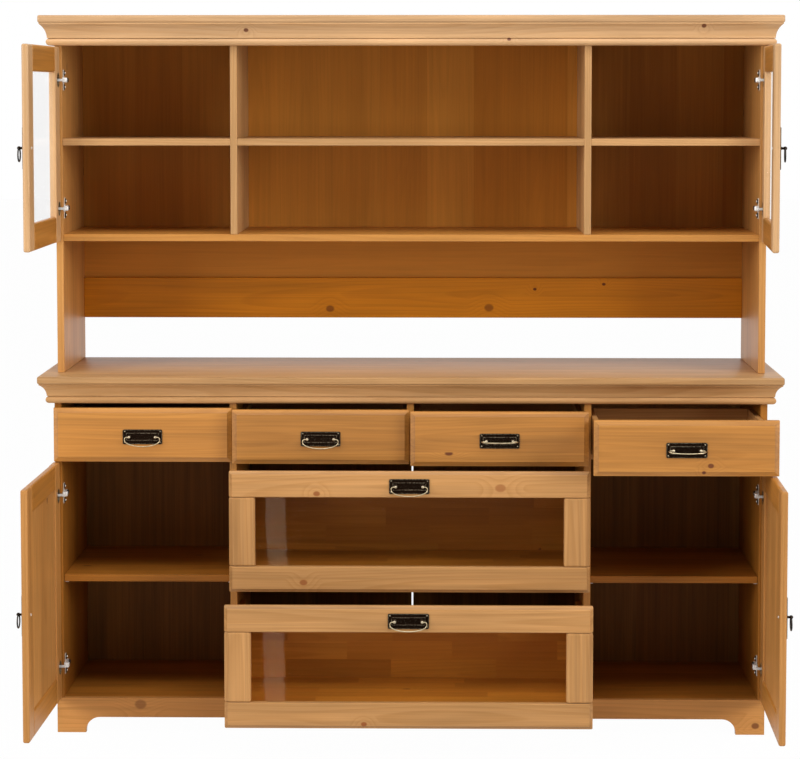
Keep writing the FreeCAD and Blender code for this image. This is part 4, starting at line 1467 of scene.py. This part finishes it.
@dataclass
class Studio:
    """A plain white studio: a pale floor, soft lamps and the photograph's camera.

    Attributes:
        focal: the camera's focal length in pixels of the 800 by 759 frame.
        centre: the frame's optical centre in those pixels.
        eye: the camera's place in metres.
        pan: how far it is turned to the left in radians.
        tilt: how far it looks down in radians.
        fill: strength of the light that comes from all round.
    """

    focal: float = 2503.9
    centre: tuple[float, float] = (406.9, 271.6)
    eye: tuple[float, float, float] = (0.0854, -6.4417, 1.5668)
    pan: float = 0.0155
    tilt: float = 0.0719
    fill: float = 0.2

    def build(self) -> None:
        """Sets the view transform and builds the camera, world, floor and lamps."""
        bpy.context.scene.view_settings.view_transform = "Standard"
        self.camera()
        self.world()
        self.floor()
        self.card()
        for name, side in (("left", -1), ("right", 1)):
            self.lamp(f"softbox on the {name}", (side * 4.6, -3.6, 2.3), (77.0, 0.0, side * 54.0), (2.4, 2.6),
                      178.0)
        self.lamp("softbox overhead", (0.0, -2.4, 4.4), (28.0, 0.0, 0.0), (4.4, 1.8), 115.0)

    def camera(self, width: int = 800, height: int = 759, sensor: float = 36.0) -> None:
        """Puts the camera where the photograph was taken from.

        Args:
            width: of the frame in pixels.
            height: of the frame in pixels.
            sensor: width of the sensor in mm.
        """
        data = bpy.data.cameras.new("camera")
        data.sensor_width = sensor
        data.lens = self.focal / width * sensor
        data.shift_x = (width / 2 - self.centre[0]) / width
        data.shift_y = (self.centre[1] - height / 2) / width
        data.clip_end = 100.0
        thing = linked("camera", data)
        thing.location = self.eye
        thing.rotation_euler = (math.pi / 2 - self.tilt, 0.0, self.pan)
        bpy.context.scene.camera = thing

    def seen(self, tree: Tree) -> Socket:
        """1 for what the camera sees straight, in a reflection or through glass, and 0 for other light."""
        path = add(tree, "LightPath").outputs
        glossy = add(tree, "Math", {0: path["Is Camera Ray"], 1: path["Is Glossy Ray"]}, operation="MAXIMUM")
        return add(tree, "Math", {0: glossy, 1: path["Is Transmission Ray"]},
                   operation="MAXIMUM").outputs[0]

    def world(self) -> None:
        """A white surround that lights the object less than it shows."""
        world = bpy.data.worlds.new("white studio")
        world.use_nodes = True
        tree = world.node_tree
        tree.nodes.clear()
        strength = add(tree, "MapRange", {0: self.seen(tree), 3: self.fill, 4: 1.0})
        surround = add(tree, "Background", {0: linear("ffffff"), 1: strength})
        add(tree, "OutputWorld", {0: surround})
        bpy.context.scene.world = world

    def sheet(self, name: str, corners: list[tuple[float, float]], height: float,
              material: Material) -> bpy.types.Object:
        """A flat sheet of the stage, which isn't part of the dresser.

        Args:
            name: its name.
            corners: X and Y of its four corners in metres.
            height: its height over the ground in metres.
            material: its material.

        Returns:
            The new object.
        """
        mesh = bpy.data.meshes.new(name)
        mesh.from_pydata([(*corner, height) for corner in corners], [], [(0, 1, 2, 3)])
        mesh.materials.append(material)
        thing = linked(name, mesh)
        return thing

    def floor(self, reach: float = 30.0, glow: float = 0.985) -> None:
        """A white floor that keeps a faint shadow.

        Args:
            reach: half its size in metres.
            glow: share of plain white in what the camera sees of it.
        """
        material, tree = blank("white studio floor")
        share = add(tree, "Math", {0: self.seen(tree), 1: glow}, operation="MULTIPLY")
        matt = add(tree, "BsdfDiffuse", {0: linear("f4f4f4")})
        white = add(tree, "Emission", {0: linear("ffffff"), 1: 1.0})
        mixed = add(tree, "MixShader", {0: share, 1: matt, 2: white})
        add(tree, "OutputMaterial", {0: mixed})
        corners = [(-reach, -reach), (reach, -reach), (reach, reach), (-reach, reach)]
        self.sheet("floor", corners, 0.0, material)

    def card(self, near: float = -1.1, far: float = -5.5, half: float = 2.6,
             strip_near: tuple[float, float] = (-0.363, -0.312),
             strip_far: tuple[float, float] = (-0.714, -0.624), glow: float = 9.0) -> None:
        """A black card on the floor before the dresser, to keep glare off the panes, with a bright strip.

        The strip runs away from the dresser, and shows pale in the panes. Neither is seen but in a gleam.

        Args:
            near: where it starts in metres along Y.
            far: where it ends in metres along Y.
            half: half its width in metres.
            strip_near: the strip's edges along X at its near end.
            strip_far: its edges at the far end.
            glow: strength of the strip's light.
        """
        whole = [(-half, far), (half, far), (half, near), (-half, near)]
        line = [(strip_far[0], far), (strip_far[1], far), (strip_near[1], near), (strip_near[0], near)]
        for name, corners, height, colour, strength in (("black card", whole, 0.004, "ffffff", 0.006),
                                                        ("bright strip", line, 0.008, "ffe7c4", glow)):
            material, tree = blank(name)
            light = add(tree, "Emission", {0: linear(colour), 1: strength})
            add(tree, "OutputMaterial", {0: light})
            thing = self.sheet(name, corners, height, material)
            thing.visible_camera = thing.visible_diffuse = thing.visible_shadow = False

    def lamp(self, name: str, place: tuple[float, float, float], turn: tuple[float, float, float],
             size: tuple[float, float], power: float) -> None:
        """A soft rectangular lamp.

        Args:
            name: the lamp's name.
            place: its middle in metres.
            turn: its turn about X, Y and Z in degrees, from facing down.
            size: its width and height in metres.
            power: in watts.
        """
        data = bpy.data.lights.new(name, "AREA")
        data.shape = "RECTANGLE"
        data.size, data.size_y = size
        data.energy = power
        thing = linked(name, data)
        thing.location = place
        thing.rotation_euler = [math.radians(angle) for angle in turn]


def main() -> None:
    """Builds the dresser from its carcase to its doors, then the studio."""
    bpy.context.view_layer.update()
    Carcase().build()
    Plinth().build()
    # The worktop's moulding is toned lighter as painted light on its cove, which lies in shade under the
    # slab.
    Top("worktop", "worktop_moulding", Finish.PALE_STAVES, -1.0, 1.2).build()
    crown_knots = (Knot(-397, 1714, 5.0), Knot(238, 1692, 4.0), Knot(706, 1724, 5.0))
    Top("crown_board", "crown_moulding", Finish.BLOND, -1.2, 0.0, crown_knots).build()
    for number, tone in enumerate((0.2, -0.9, -0.8), start=1):
        Drawer(f"drawer_{number}", tone).build()
    Drawer("drawer_4", -0.6, (Knot(704, 696, 6.0), Knot(688, 680, 4.0))).build()
    rail_knots = (Knot(219, 632, 11.0), Knot(-255, 398, 8.0), Knot(-223, 616, 7.0))
    # The lower drawer's box is toned much lighter than the upper's: painted light.
    GlassDrawer("upper_glass_drawer", rail_knots, (0.0, -0.6)).build()
    GlassDrawer("lower_glass_drawer", (Knot(-105, 92, 6.0),), (2.0, 3.0)).build()
    doors = [Door(f"{side}_{level}_door", level == "hutch")
             for side in ("left", "right") for level in ("base", "hutch")]
    for door in doors:
        door.build()
    Hinges(doors).build()
    Studio().build()


if __name__ == "__main__":
    logging.basicConfig(level=logging.INFO, format="%(message)s")
    main()
